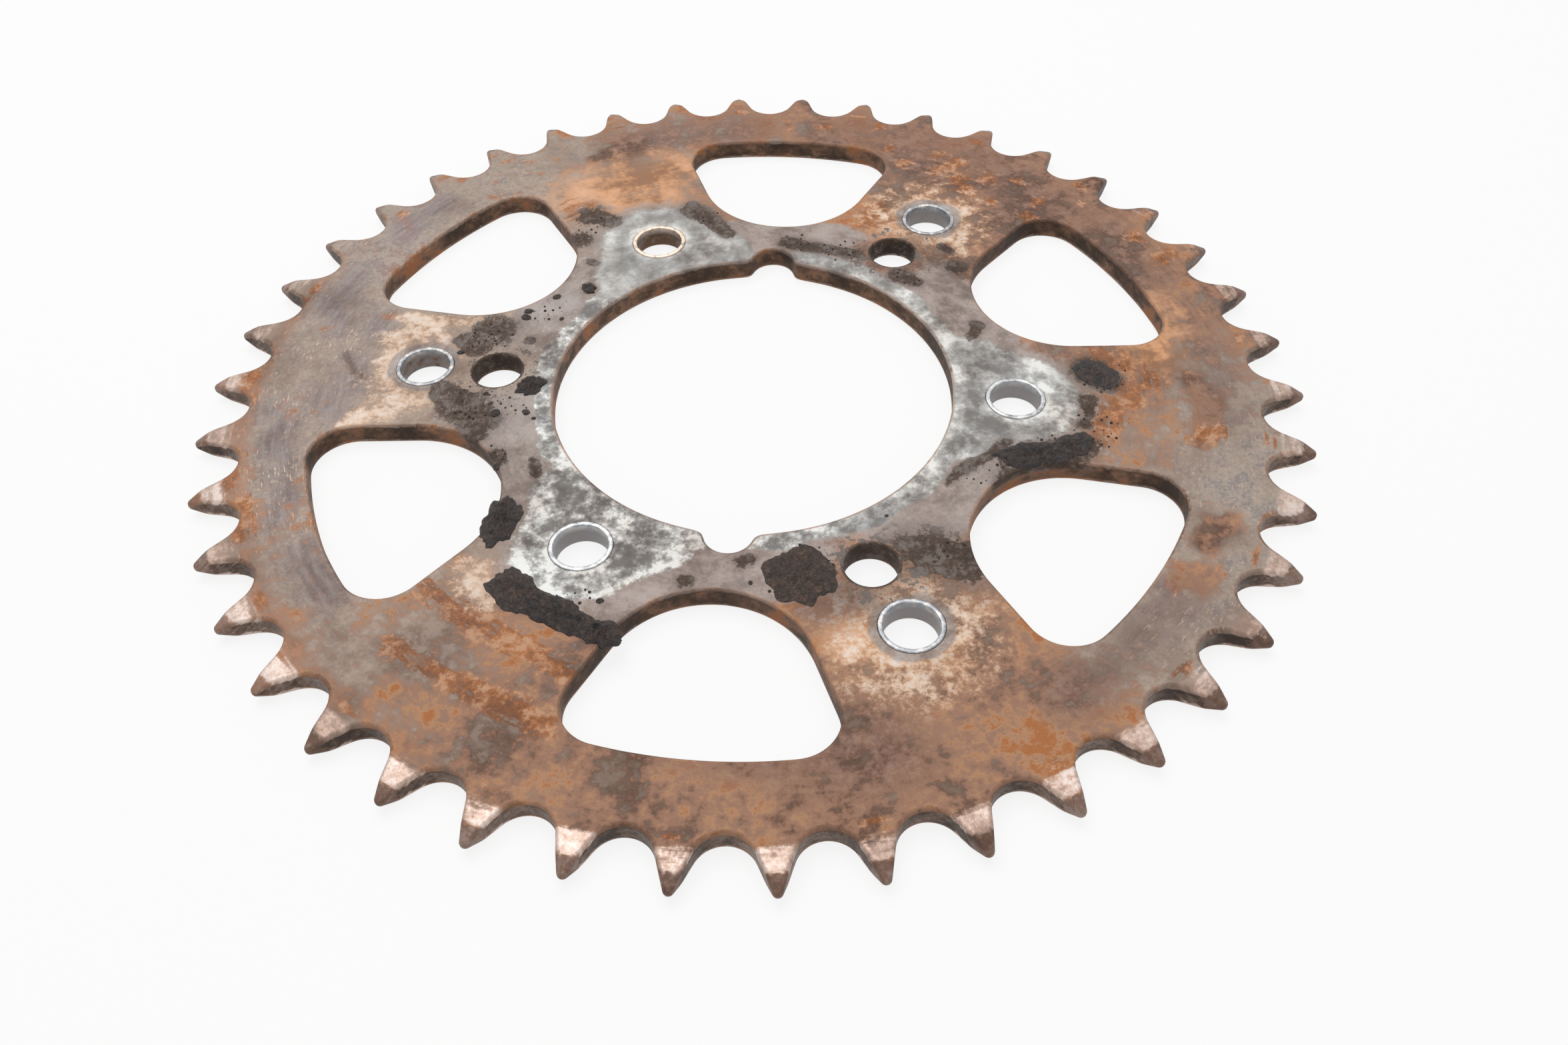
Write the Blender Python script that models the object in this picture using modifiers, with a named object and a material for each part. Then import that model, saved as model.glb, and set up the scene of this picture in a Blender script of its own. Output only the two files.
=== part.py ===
"""Rear chain sprocket: a toothed steel plate with six pressed-in bolt collars.

Metres, +Z along the axle. The back face of the plate lies on z = 0, the axle is the Z axis,
and one tooth points along +X.
"""
import math

import bmesh
import bpy

# Chain and teeth
TOOTH_COUNT = 42
CHAIN_PITCH = 0.015875
ROLLER_DIAMETER = 0.01016
SEAT_CLEARANCE = 0.0002
TOOTH_ADDENDUM = 0.0043
TIP_ROUND = 0.0009

# Plate
PLATE_THICKNESS = 0.0046
BORE_DIAMETER = 0.0806
NOTCH_DIAMETER = 0.0094
NOTCH_LEAD_IN = 0.0024

# Side relief of the teeth: a polished slope from the root, then a steeper slope to the tip
RELIEF_SETBACK = 0.0018
TIP_BEVEL_LENGTH = 0.0030
SHOULDER_DROP = 0.0003
TIP_EDGE_THICKNESS = 0.0012

# Lightening windows
WINDOW_COUNT = 6
RIM_WIDTH = 0.0127
WINDOW_CORNER_RADIUS = 0.008
WINDOW_CORNER_SPREAD = 0.0304
WINDOW_NOSE_RADIUS = 0.0195
WINDOW_NOSE_WEB = 0.0132

# Bolt holes and collars
MOUNT_COUNT = 3
MOUNT_CLOCK = math.radians(47.5)
INNER_CIRCLE_DIAMETER = 0.1052
OUTER_CIRCLE_STEP = 0.0151
PLAIN_HOLE_DIAMETER = 0.0100
COLLAR_BORE_DIAMETER = 0.0100
COLLAR_WALL = 0.0009
COLLAR_PROUD = 0.0002
COLLAR_CHAMFER = 0.0003
SEATING_GAP = 0.0003

# Facets
TIP_FACETS = 4
SEAT_FACETS = 8
CORNER_FACETS = 6
NOSE_FACETS = 10
BORE_FACETS = 60
NOTCH_FACETS = 8
HOLE_FACETS = 28
BLANK_FACETS_PER_TOOTH = 2

# Sizes that follow from the ones above
PITCH_RADIUS = CHAIN_PITCH / (2 * math.sin(math.pi / TOOTH_COUNT))
SEAT_RADIUS = ROLLER_DIAMETER / 2 + SEAT_CLEARANCE
ROOT_RADIUS = PITCH_RADIUS - SEAT_RADIUS
TIP_RADIUS = PITCH_RADIUS + TOOTH_ADDENDUM
BORE_RADIUS = BORE_DIAMETER / 2
WINDOW_OUTER_RADIUS = ROOT_RADIUS - RIM_WIDTH
WINDOW_NOSE_REACH = BORE_RADIUS + WINDOW_NOSE_WEB
INNER_CIRCLE_RADIUS = INNER_CIRCLE_DIAMETER / 2
OUTER_CIRCLE_RADIUS = INNER_CIRCLE_RADIUS + OUTER_CIRCLE_STEP
COLLAR_RADIUS = COLLAR_BORE_DIAMETER / 2 + COLLAR_WALL
COLLAR_SEAT_RADIUS = COLLAR_RADIUS + SEATING_GAP
TOOTH_STEP = 2 * math.pi / TOOTH_COUNT
MOUNT_STEP = 2 * math.pi / MOUNT_COUNT
WINDOW_STEP = 2 * math.pi / WINDOW_COUNT
WELD_DISTANCE = 0.00001


def arc(centre_x, centre_y, radius, start, end, facets):
    """Points along an arc, both ends included."""
    points = []
    for i in range(facets + 1):
        angle = start + (end - start) * i / facets
        points.append((centre_x + radius * math.cos(angle), centre_y + radius * math.sin(angle)))
    return points


def turned(points, angle):
    """The points turned about the axle."""
    cos_a, sin_a = math.cos(angle), math.sin(angle)
    return [(x * cos_a - y * sin_a, x * sin_a + y * cos_a) for x, y in points]


def polar(radius, angle):
    """A point at a radius and angle about the axle."""
    return radius * math.cos(angle), radius * math.sin(angle)


def tooth_outline():
    """Round tips and round roller seats joined by straight flanks, all the way round."""
    tip_centre = TIP_RADIUS - TIP_ROUND
    seat_x, seat_y = polar(PITCH_RADIUS, TOOTH_STEP / 2)
    reach = math.hypot(seat_x - tip_centre, seat_y)
    bearing = math.atan2(seat_y, seat_x - tip_centre)
    # A flank touches the tip circle and the seat circle from opposite sides
    flank = bearing - math.acos((SEAT_RADIUS + TIP_ROUND) / reach)
    one_tooth = arc(tip_centre, 0, TIP_ROUND, -flank, flank, TIP_FACETS)
    one_tooth += arc(seat_x, seat_y, SEAT_RADIUS, math.pi + flank,
                     math.pi + TOOTH_STEP - flank, SEAT_FACETS)
    outline = []
    for tooth in range(TOOTH_COUNT):
        outline += turned(one_tooth, tooth * TOOTH_STEP)
    return outline


def bore_outline():
    """The centre bore with two opposite half-round notches that have eased mouths."""
    notch_radius = NOTCH_DIAMETER / 2
    mouth = (notch_radius + NOTCH_LEAD_IN) / BORE_RADIUS
    notch_angle = MOUNT_CLOCK + WINDOW_STEP / 2
    half = arc(0, 0, BORE_RADIUS, mouth, math.pi - mouth, BORE_FACETS // 2)
    half += arc(-BORE_RADIUS, 0, notch_radius, math.pi / 2, math.pi * 3 / 2, NOTCH_FACETS)
    return turned(half, notch_angle) + turned(half, notch_angle + math.pi)


def window_outline(angle):
    """A rounded triangle: its outer side follows the rim and its nose points at the bore."""
    corner_orbit = WINDOW_OUTER_RADIUS - WINDOW_CORNER_RADIUS
    corner_y = WINDOW_CORNER_SPREAD / 2
    corner_bearing = math.asin(corner_y / corner_orbit)
    corner_x = corner_orbit * math.cos(corner_bearing)
    nose_x = WINDOW_NOSE_REACH + WINDOW_NOSE_RADIUS
    reach = math.hypot(corner_x - nose_x, corner_y)
    # The side touches the corner circle and the nose circle from the same side
    side = math.atan2(corner_y, corner_x - nose_x)
    side += math.acos((WINDOW_NOSE_RADIUS - WINDOW_CORNER_RADIUS) / reach)
    upper = arc(corner_x, corner_y, WINDOW_CORNER_RADIUS, corner_bearing, side, CORNER_FACETS)
    nose = arc(nose_x, 0, WINDOW_NOSE_RADIUS, side, 2 * math.pi - side, NOSE_FACETS)
    lower = [(x, -y) for x, y in reversed(upper)]
    rim_side = arc(0, 0, WINDOW_OUTER_RADIUS, -corner_bearing, corner_bearing, CORNER_FACETS)
    return turned(upper + nose + lower + rim_side[1:-1], angle)


def collar_places():
    """Name and centre of each collar: one ring on the outer circle, one on the lugs."""
    places = []
    for i in range(MOUNT_COUNT):
        spoke = MOUNT_CLOCK + i * MOUNT_STEP
        lug = spoke + MOUNT_STEP / 2
        places.append((f"outer_collar_{i + 1}", polar(OUTER_CIRCLE_RADIUS, spoke)))
        places.append((f"lug_collar_{i + 1}", polar(INNER_CIRCLE_RADIUS, lug)))
    return places


def plate_loops():
    """Every loop of the plate's flat outline."""
    loops = [tooth_outline(), bore_outline()]
    for i in range(WINDOW_COUNT):
        loops.append(window_outline(MOUNT_CLOCK + WINDOW_STEP * (i + 0.5)))
    for i in range(MOUNT_COUNT):
        x, y = polar(INNER_CIRCLE_RADIUS, MOUNT_CLOCK + i * MOUNT_STEP)
        loops.append(arc(x, y, PLAIN_HOLE_DIAMETER / 2, 0, 2 * math.pi, HOLE_FACETS)[:-1])
    for _, (x, y) in collar_places():
        loops.append(arc(x, y, COLLAR_SEAT_RADIUS, 0, 2 * math.pi, HOLE_FACETS)[:-1])
    return loops


def new_collection(name):
    collection = bpy.data.collections.new(name)
    bpy.context.scene.collection.children.link(collection)
    return collection


def new_material(name, colour, roughness, metallic):
    material = bpy.data.materials.new(name)
    material.use_nodes = True
    shader = material.node_tree.nodes["Principled BSDF"]
    shader.inputs["Base Color"].default_value = (*colour, 1.0)
    shader.inputs["Roughness"].default_value = roughness
    shader.inputs["Metallic"].default_value = metallic
    return material


def extruded_outline(name, loops, thickness, collection):
    """A closed mesh of the loops, extruded from z = 0 up to the thickness."""
    curve = bpy.data.curves.new(name, "CURVE")
    curve.dimensions = "2D"
    curve.fill_mode = "BOTH"
    curve.extrude = thickness / 2
    for points in loops:
        spline = curve.splines.new("POLY")
        spline.points.add(len(points) - 1)
        for point, (x, y) in zip(spline.points, points):
            point.co = (x, y, 0, 1)
        spline.use_cyclic_u = True
    flat = bpy.data.objects.new(name + "_outline", curve)
    flat.location.z = thickness / 2
    collection.objects.link(flat)
    bpy.context.view_layer.update()
    evaluated = flat.evaluated_get(bpy.context.evaluated_depsgraph_get())
    mesh = bpy.data.meshes.new_from_object(evaluated)
    welded = bmesh.new()
    welded.from_mesh(mesh)
    bmesh.ops.remove_doubles(welded, verts=welded.verts, dist=WELD_DISTANCE)
    welded.to_mesh(mesh)
    welded.free()
    solid = bpy.data.objects.new(name, mesh)
    solid.matrix_world = flat.matrix_world
    collection.objects.link(solid)
    bpy.data.objects.remove(flat)
    bpy.data.curves.remove(curve)
    return solid


def profile_mesh(name, points, closed):
    """A chain of edges in the XZ plane, ready to be turned about Z."""
    mesh = bpy.data.meshes.new(name)
    edges = [(i, i + 1) for i in range(len(points) - 1)]
    if closed:
        edges.append((len(points) - 1, 0))
    mesh.from_pydata([(x, 0, z) for x, z in points], edges, [])
    return mesh


def add_turning(solid, steps):
    screw = solid.modifiers.new("turned", "SCREW")
    screw.axis = "Z"
    screw.angle = 2 * math.pi
    screw.steps = steps
    screw.render_steps = steps
    screw.use_merge_vertices = True
    screw.merge_threshold = WELD_DISTANCE


def relief_blank(cutters):
    """A disc whose rim tapers in two slopes on both sides, about the plate's middle plane."""
    half = PLATE_THICKNESS / 2
    relief_start = ROOT_RADIUS + RELIEF_SETBACK
    shoulder = TIP_RADIUS - TIP_BEVEL_LENGTH
    shoulder_half = half - SHOULDER_DROP
    edge_half = TIP_EDGE_THICKNESS / 2
    slope = SHOULDER_DROP / (shoulder - relief_start)
    bevel = (shoulder_half - edge_half) / TIP_BEVEL_LENGTH
    # The slopes run on past the faces and past the tips, so no two faces lie in one plane
    over_face = SHOULDER_DROP
    past_tip = edge_half / 2
    upper = [
        (0, half + over_face),
        (relief_start - over_face / slope, half + over_face),
        (shoulder, shoulder_half),
        (TIP_RADIUS + past_tip / bevel, edge_half - past_tip),
    ]
    lower = [(x, -z) for x, z in reversed(upper)]
    blank = bpy.data.objects.new("relief_blank", profile_mesh("relief_blank", upper + lower, False))
    steps = TOOTH_COUNT * BLANK_FACETS_PER_TOOTH
    add_turning(blank, steps)
    blank.location.z = half
    blank.rotation_euler.z = math.pi / steps
    blank.hide_render = True
    blank.display_type = "WIRE"
    cutters.objects.link(blank)
    return blank


def add_plate(collection, cutters):
    """The stamped plate, cut through at once and relieved at the teeth."""
    plate = extruded_outline("sprocket_plate", plate_loops(), PLATE_THICKNESS, collection)
    relief = plate.modifiers.new("side relief", "BOOLEAN")
    relief.operation = "INTERSECT"
    relief.solver = "EXACT"
    relief.object = relief_blank(cutters)
    plate.data.materials.append(new_material("rusted steel", (0.20, 0.12, 0.08), 0.72, 0.45))


def add_collars(collection):
    """Plain steel sleeves, flush with the back and a little proud of the front."""
    length = PLATE_THICKNESS + COLLAR_PROUD
    inner = COLLAR_BORE_DIAMETER / 2
    section = [
        (COLLAR_RADIUS, length),
        (COLLAR_RADIUS, 0),
        (inner + COLLAR_CHAMFER, 0),
        (inner, COLLAR_CHAMFER),
        (inner, length - COLLAR_CHAMFER),
        (inner + COLLAR_CHAMFER, length),
    ]
    mesh = profile_mesh("bolt_collar", section, True)
    mesh.materials.append(new_material("zinc plated steel", (0.42, 0.44, 0.46), 0.40, 0.85))
    for name, (x, y) in collar_places():
        collar = bpy.data.objects.new(name, mesh)
        add_turning(collar, HOLE_FACETS)
        collar.location = (x, y, 0)
        collection.objects.link(collar)


def main():
    for old in list(bpy.data.objects):
        bpy.data.objects.remove(old)
    sprocket = new_collection("rear_sprocket")
    cutters = new_collection("cutters")
    add_plate(sprocket, cutters)
    add_collars(sprocket)
    bpy.context.view_layer.update()


main()
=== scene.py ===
import math

import bpy
import numpy as np
from bpy.props import FloatProperty, FloatVectorProperty, IntProperty, PointerProperty
from mathutils import Matrix, Vector, kdtree, noise
from mathutils.geometry import delaunay_2d_cdt


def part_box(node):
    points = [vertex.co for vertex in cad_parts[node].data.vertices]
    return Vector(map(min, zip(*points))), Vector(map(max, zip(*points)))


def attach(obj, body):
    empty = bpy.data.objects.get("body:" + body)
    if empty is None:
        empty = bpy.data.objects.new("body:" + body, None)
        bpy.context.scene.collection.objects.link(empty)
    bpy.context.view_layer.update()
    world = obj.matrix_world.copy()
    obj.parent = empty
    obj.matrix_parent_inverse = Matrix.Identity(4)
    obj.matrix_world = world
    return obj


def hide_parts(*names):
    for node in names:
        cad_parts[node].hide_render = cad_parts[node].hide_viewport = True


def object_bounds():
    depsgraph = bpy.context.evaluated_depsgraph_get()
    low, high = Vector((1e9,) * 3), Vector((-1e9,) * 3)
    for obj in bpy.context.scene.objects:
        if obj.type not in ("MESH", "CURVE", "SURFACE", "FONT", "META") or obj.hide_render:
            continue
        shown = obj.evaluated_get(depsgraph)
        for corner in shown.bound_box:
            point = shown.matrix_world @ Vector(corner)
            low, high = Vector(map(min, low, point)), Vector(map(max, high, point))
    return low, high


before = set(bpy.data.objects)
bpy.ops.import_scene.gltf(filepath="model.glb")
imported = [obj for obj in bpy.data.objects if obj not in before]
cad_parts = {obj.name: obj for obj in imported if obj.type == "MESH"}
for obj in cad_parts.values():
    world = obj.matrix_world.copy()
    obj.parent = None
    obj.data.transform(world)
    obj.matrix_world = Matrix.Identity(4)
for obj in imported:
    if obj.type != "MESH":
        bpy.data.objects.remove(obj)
CAD_LOW, CAD_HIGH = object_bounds()
PLATE_LOW, PLATE_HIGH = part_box("sprocket_plate")

bl_info = {
    "name": "Rear Chain Sprocket",
    "version": (1, 0, 0),
    "blender": (4, 5, 0),
    "location": "View3D > Sidebar > Sprocket",
    "description": "Dresses a worn steel rear sprocket over its packed solids",
    "category": "Add Mesh",
}

MM = 0.001
BLACK, WHITE = (0, 0, 0), (1, 1, 1)
COLLAR_NODES = tuple(f"{ring}_collar_{i}" for ring in ("outer", "lug") for i in (1, 2, 3))

# Marks of use on the front face, each a stroke of (x, y, radius) points in mm
GRIME_STAINS = (
    ((26, -48.5, 5.2), (33, -52, 5.2)), ((-52, 24, 4.7),), ((-56, 19.5, 3.4), (-58.5, 22, 2.1)),
    ((-62.5, 7, 2.6), (-58.5, 2, 4.9), (-54.5, -3, 3.9), (-55.5, -8, 2.1)), ((-51.5, -14, 2.7),),
    ((-44, -15, 0.8), (-43.5, -19.5, 1.2)), ((-44.5, 20, 1.1),), ((-17.5, -49.5, 1.8),),
    ((-7, -46.5, 1.6), (-5, -46, 1)), ((22.5, -46.5, 2.3),), ((68.5, -5.5, 4.4), (71, -9, 3.1)),
    ((65.5, -14, 2.1), (64.5, -17.5, 1.3)), ((48, -28.5, 4.4), (57, -28.5, 4.2), (62, -26.5, 2.8)),
    ((46.5, -23.5, 1.4), (41.5, -27, 1.1), (37, -29, 1.3), (33.5, -32, 0.8)),
    ((46, -31.5, 2.6), (42.5, -34, 1.2)), ((63, -20.5, 1.5),), ((33.5, -48.5, 1.6), (33, -53.5, 1.2)),
    ((48.5, 31.5, 2.6),), ((47, 39, 1.5), (48.5, 37.5, 1.1)),
    ((13, 45.5, 2.4), (20, 42.5, 1.7), (27.5, 39.5, 1.7)), ((48.5, 11.5, 1.8), (47, 8.5, 1.2)),
    ((35.5, 30.5, 2.6), (39, 27.5, 1.5)), ((-30.5, 62, 3.6), (-26, 59.5, 2.2)), ((-33.5, 53.5, 2.9),),
    ((-7.5, 61.5, 2.7), (-3.5, 56.5, 2.4), (0, 51, 1.7)), ((-51.5, 25, 3.6), (-54.5, 20.5, 2.7)),
    ((-31, 44.5, 1.3),),
)
GREASE_SPECKS = (
    (-39, 33.5, 1), (-32, 35.5, 1.8), (-45, 29.5, 1), (-45.5, 27.5, 1.1), (-38, 26, 0.6), (-59, 18, 0.8),
    (-51.5, -1.5, 1.1), (-52.5, 1.5, 0.6), (-53.5, 4.5, 0.6), (-45.5, -2, 0.9), (-44, -4, 0.5),
    (-32.5, -52, 0.7), (-36, -52, 0.4), (-6, -51.5, 0.5), (-51, -16.5, 0.8), (20.5, -39, 0.4),
)
# Grey-brown drifts of old oil, and smooth lilac patches that reach the windows
OIL_DRIFTS = (((6, -57, 4), (13, -58, 3.5)), ((-59.5, 13, 3.5),))
LILAC_PATCHES = (((-31, -54, 4.5), (-19, -52, 4)), ((40, 38, 4), (44, 30, 4)))
DRY_TAN = (
    ((-12, 78, 7), (-22, 74.5, 9), (-31, 70, 8)), ((-14, 66.9, 5), (-27, 66, 4.5)),
    ((45.7, 49.9, 9.5),), ((84, 10, 6), (82, -4, 6)), ((12, -66, 5), (24, -72, 5)),
)
PALE_HALOS = (
    ((19.5, -65, 10.4),), ((45.5, 50, 9),), ((-66, 14.5, 8.5),), ((19.5, -77, 3),),
    ((-72, 20, 3.1), (-73.5, 13.5, 2.9), (-70, 6, 3.1), (-65.5, 4, 2.6)),
    ((-75, 2, 3.1), (-80.5, -0.5, 2.1)),
    ((-70, 30.5, 2.1), (-63.5, 28.5, 1.7), (-55, 27.5, 1.5), (-48, 28, 1.5)), ((-62.5, 23, 1.8),),
    ((-34, 27, 1.6),), ((-36, 20, 1.1), (-38, 13.5, 1.1), (-40.5, 5, 1), (-41.5, -4, 0.7)),
    ((-53.5, -43.5, 3.6), (-53, -48, 2.6)), ((52, 44, 2.2), (50.5, 37.5, 1.7)),
    ((42, 11.5, 1.9), (42, 7, 2.6)), ((-67, 26, 3.6), (-73, 23, 3)),
)
ORANGE_RUST = (
    ((-63, -45.5, 2.2), (-47, -60, 2.2), (-37, -68, 1.6)),
    ((-68, -57, 1.8), (-55, -68, 1.8), (-42, -78.5, 1.3)), ((-33.5, 65.5, 3.6),), ((53, 75, 1.7),),
    ((56.5, 71, 2.7), (50.5, 68, 1.3)), ((55.5, 64.5, 2.4), (57, 59.5, 1.7)), ((62.5, 64, 2.1),),
    ((69.5, 62, 1.6),), ((61.5, 54.5, 1.5),), ((72, 53, 1.8),), ((68.5, 47, 2),), ((83.5, 58.5, 1.3),),
    ((82.5, 51, 1.2),), ((90.5, 36.5, 1.9),), ((93.5, 29, 2.3),), ((28, 91.5, 1.7),), ((41, 89.5, 1.7),),
    ((42, 80, 1.3),), ((44.5, 73, 1.6),), ((19, 93.5, 1.3),), ((33.5, 52.5, 4.3), (36, 57, 2.4)),
    ((71, -1, 2.9), (75, -5.5, 3.4), (72, -15.5, 3.1), (65.5, -22, 3.1), (62.5, -26, 3.1)),
    ((78, -10.5, 3.1),), ((84.5, -27, 2.3), (89.5, -26, 1.4)),
    ((-55, -66.5, 1.9), (-48.5, -71.5, 1.9), (-41.5, -75.5, 1.4)), ((-55, -52.5, 1.6), (-51.5, -54, 1.3)),
    ((-102.5, 17.5, 1.8), (-102, 9.5, 2.1)), ((-101.5, -7.5, 1.8), (-101.5, -13.5, 2.1)),
    ((-98, -20, 2), (-97, -27, 2.3)), ((-94, 39.5, 1.4), (-95.5, 35.5, 1.4)),
)
# Darker purple-brown patches, most over the far upper right
DARK_PURPLE_PATCHES = (
    ((36, 84, 10), (58, 68, 13), (74, 46, 10), (86, 26, 7)), ((8, 93, 7), (-22, 90, 7)), ((56, 60, 8),),
    ((44, -82, 4), (66, -66, 5)), ((-20, -78, 6), (10, -88, 7)), ((93, -4, 5), (90, -22, 5)),
)
BROWN_RUST = (
    ((87.5, -11.5, 3.9), (89.5, -17.5, 3.4)), ((87.5, -21, 2.7), (83.5, -28.5, 2.3)),
    ((79.5, -50, 4.4), (76, -53.5, 3)), ((72, -61, 4.2),), ((82.5, -48, 1.9),),
    ((-20, 90, 6.7), (-29, 85.5, 2.4)), ((-56.5, 92.5, 1.2),),
)
GOUGE = ((-82.9, 21.3, 0.5), (-81.6, 17.7, 0.7), (-80.3, 14.6, 0.7), (-78, 12.6, 0.5))

# Lilac-grey mill skin left on the rim, and where something hard has chipped it pale
GREY_SKIN = (
    ((-87, 37, 4), (-84, 31.5, 3.5)), ((-76.5, 30.5, 3.5), (-74.5, 24, 3)),
    ((-79, 17.5, 3.5), (-80.5, 11.5, 4)), ((-86, 7.5, 4), (-82, 1.5, 3)), ((-97, 4.5, 4), (-93, 0.5, 3)),
    ((-95.5, -3.5, 2.5), (-91.5, -9, 3.5)), ((-90.5, -17.5, 4), (-91, -23, 4)),
    ((-86, -33, 4), (-80, -44, 4)), ((-74, 62, 4), (-66, 72, 4)), ((-88, 38, 4), (-82, 48, 3.5)),
)
CHIPPED = (
    ((-84, 27, 3.5), (-85.5, 23, 3)), ((-94.5, 7, 3), (-91.5, 4, 2.5)), ((-89.5, 6, 1), (-89, -1, 0.8)),
    ((-91.5, -12, 3), (-93.5, -14, 3)), ((-90, -22, 4),), ((-87.5, 20.5, 2.5),),
)

# Spacing of the points on the plate, in metres
TIP_STEP = 0.0004
SEAT_STEP = 0.0007
FLANK_STEP = 0.0006
BORE_STEP = 0.0006
NOTCH_STEP = 0.0005
WINDOW_STEP = 0.0008
HOLE_STEP = 0.0006
CREASE_STEP = 0.0007
CREASE_SIDE = 0.00018
FACE_INSET = 0.0003

# Reach of the marks on the front face, in mm
PRINT_RADIUS = 44.3  # the hub's print round the bore
CHALK_RADIUS = 43.6  # the chalky line in it
BAND_RADIUS = 56.5  # the smooth band beside it
LOBE_RADIUS = 12.6  # the print's lobe at a lug collar
LOBE_FOOT = 9.5  # from the lobe's middle to its two feet, inwards and to each side
FOOT_RADIUS = 8.6
LOBE_BAND = 15.2  # the smooth band round a lobe
LUG_BLOOM = 6.6  # the white ring round a lug collar
HOLE_STAIN = 7.6  # the stain round a plain hole
COLLAR_RING = 1.8  # the width of the grey ring round an outer collar
BARE_RIM = 82  # where the grey steel on the right begins

# Relief of the faces, in mm
FACE_WAVE = 0.02
RUST_SWELL = 0.018
MOST_LIFT = 0.05
GROOVE_DEPTH = 0.36
GROOVE_LIP = 0.2

# Caked grease: centre x and y, half length and half width in mm, turn in degrees, height in mm, how dry
GREASE_LUMPS = (
    (-44.6, 5.7, 3.2, 2.7, 20, 1.0, 0.15), (-49.8, -30.6, 6.2, 3.7, 75, 0.9, 0.15),
    (-47.4, -47.8, 5.8, 4.2, -58, 0.7, 0.4), (-40.4, -53.8, 8.8, 3.6, -36, 0.9, 0.1),
    (-32.6, -59.2, 4.3, 2.8, -32, 1.0, 0.1), (3.2, -51, 7.2, 6.2, 95, 0.6, 0.85),
    (69.2, -6.6, 5.0, 3.8, -40, 0.5, 0.1), (51.2, -27.2, 8.0, 3.3, 2, 0.8, 0.05),
    (59, -26, 4.6, 3.2, 30, 0.7, 0.1),
)
# Wear of the collars: a warm tint and chalk on the rim, soot in the bore with painted shade that deepens
# downwards, by ring or by collar
COLLAR_WEAR = {
    "warmth": {"outer": 0.12, "lug": 0.12, "lug_collar_1": 0.62},
    "chalk": {"outer": 0.0, "lug": 0.38, "lug_collar_1": 0.0},
    "soot_and_shade": {"outer": 0.8, "lug": 0.7, "outer_collar_2": 1.15, "lug_collar_1": 1.5},
}
# Beds of loose grit beside the grease: centre x, y and radius in mm
GRIT_BEDS = (
    (45, -31, 4.5), (55, -28, 6), (64, -23, 5), (39, -32, 3), (70, -8, 5), (30, -50, 4.5), (3, -51, 7),
    (-38, -52, 4), (-51, -27, 4), (-55, 2, 5.5), (-48, 0, 3), (-53, 22, 5), (-42, 30, 5),
    (-52, -14, 3), (14, 45, 4), (24, 41, 4), (-31, 58, 4), (-4, 57, 4), (37, 29, 3),
)
# White bloom on the border of each lobe of the hub's print, and how even the lobe is inside
LOBE_BLOOM = ((0.16, 0.7), (0.4, 0.0), (0.26, 0.15))
# Light and dark patches of the print: x, y, radius in mm, and how much lighter
PRINT_PATCHES = (
    (44.5, 2.5, 3, -0.3), (50, -3, 3, -0.3), (44, -9, 2.5, -0.3), (41, -19, 3, -0.25),
    (44.5, -20.5, 2.5, -0.3), (55.5, -21.5, 2.5, -0.25), (56, -2.5, 2, 0.3), (58.5, -10, 2.5, 0.3),
    (59.5, -18.5, 2.5, 0.2), (44, -24, 2, 0.4), (-37.5, -29.5, 4, -0.25), (-26, -38, 4.5, -0.3),
    (-44, -36, 3, -0.3), (-40, -23, 3, -0.3), (-42.5, -26.5, 2.5, 0.3), (-27.5, -30.5, 3, 0.25),
    (-17.5, -40, 4, 0.25), (-31, -48.5, 4, 0.25), (-22.5, 53, 3.5, 0.2), (-3, 46.5, 3.5, 0.2),
    (-25, 37, 3.5, 0.25), (-16.5, 37, 3, 0.1),
)
# How far brown rust has taken the front face, by bearing in degrees about the axle
RUST_BY_BEARING = (
    (-180, 0.22), (-155, 0.32), (-140, 0.55), (-120, 0.86), (-95, 0.95), (-70, 0.9), (-50, 0.62),
    (-32, 0.32), (-15, 0.62), (0, 0.82), (35, 0.92), (70, 0.85), (90, 0.7), (105, 0.55), (120, 0.22),
    (140, 0.14), (180, 0.22),
)

# The studio's sizes and places in metres, and how far the floor shines by itself
FLOOR_HALF = 3.0
FLOOR_GAP = 0.0002
FLOOR_GLOW = 0.84
SOFTBOX_SIZE = 0.6
SOFTBOX_PLACE = (-0.08, 0.22, 0.72)
NEAR_CLIP = 0.01


def linear(code):
    """A linear colour from its sRGB hex code."""
    parts = [int(code[i:i + 2], 16) / 255 for i in (1, 3, 5)]
    return tuple(c / 12.92 if c <= 0.04045 else ((c + 0.055) / 1.055) ** 2.4 for c in parts)


def length(name, text, default):
    """A property that holds a length in metres."""
    return FloatProperty(name=name, description=text, default=default, unit="LENGTH", precision=5)


def colour(name, text, code):
    """A property that holds a colour."""
    return FloatVectorProperty(name=name, description=text, subtype="COLOR", min=0, max=1,
                               default=linear(code))


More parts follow.
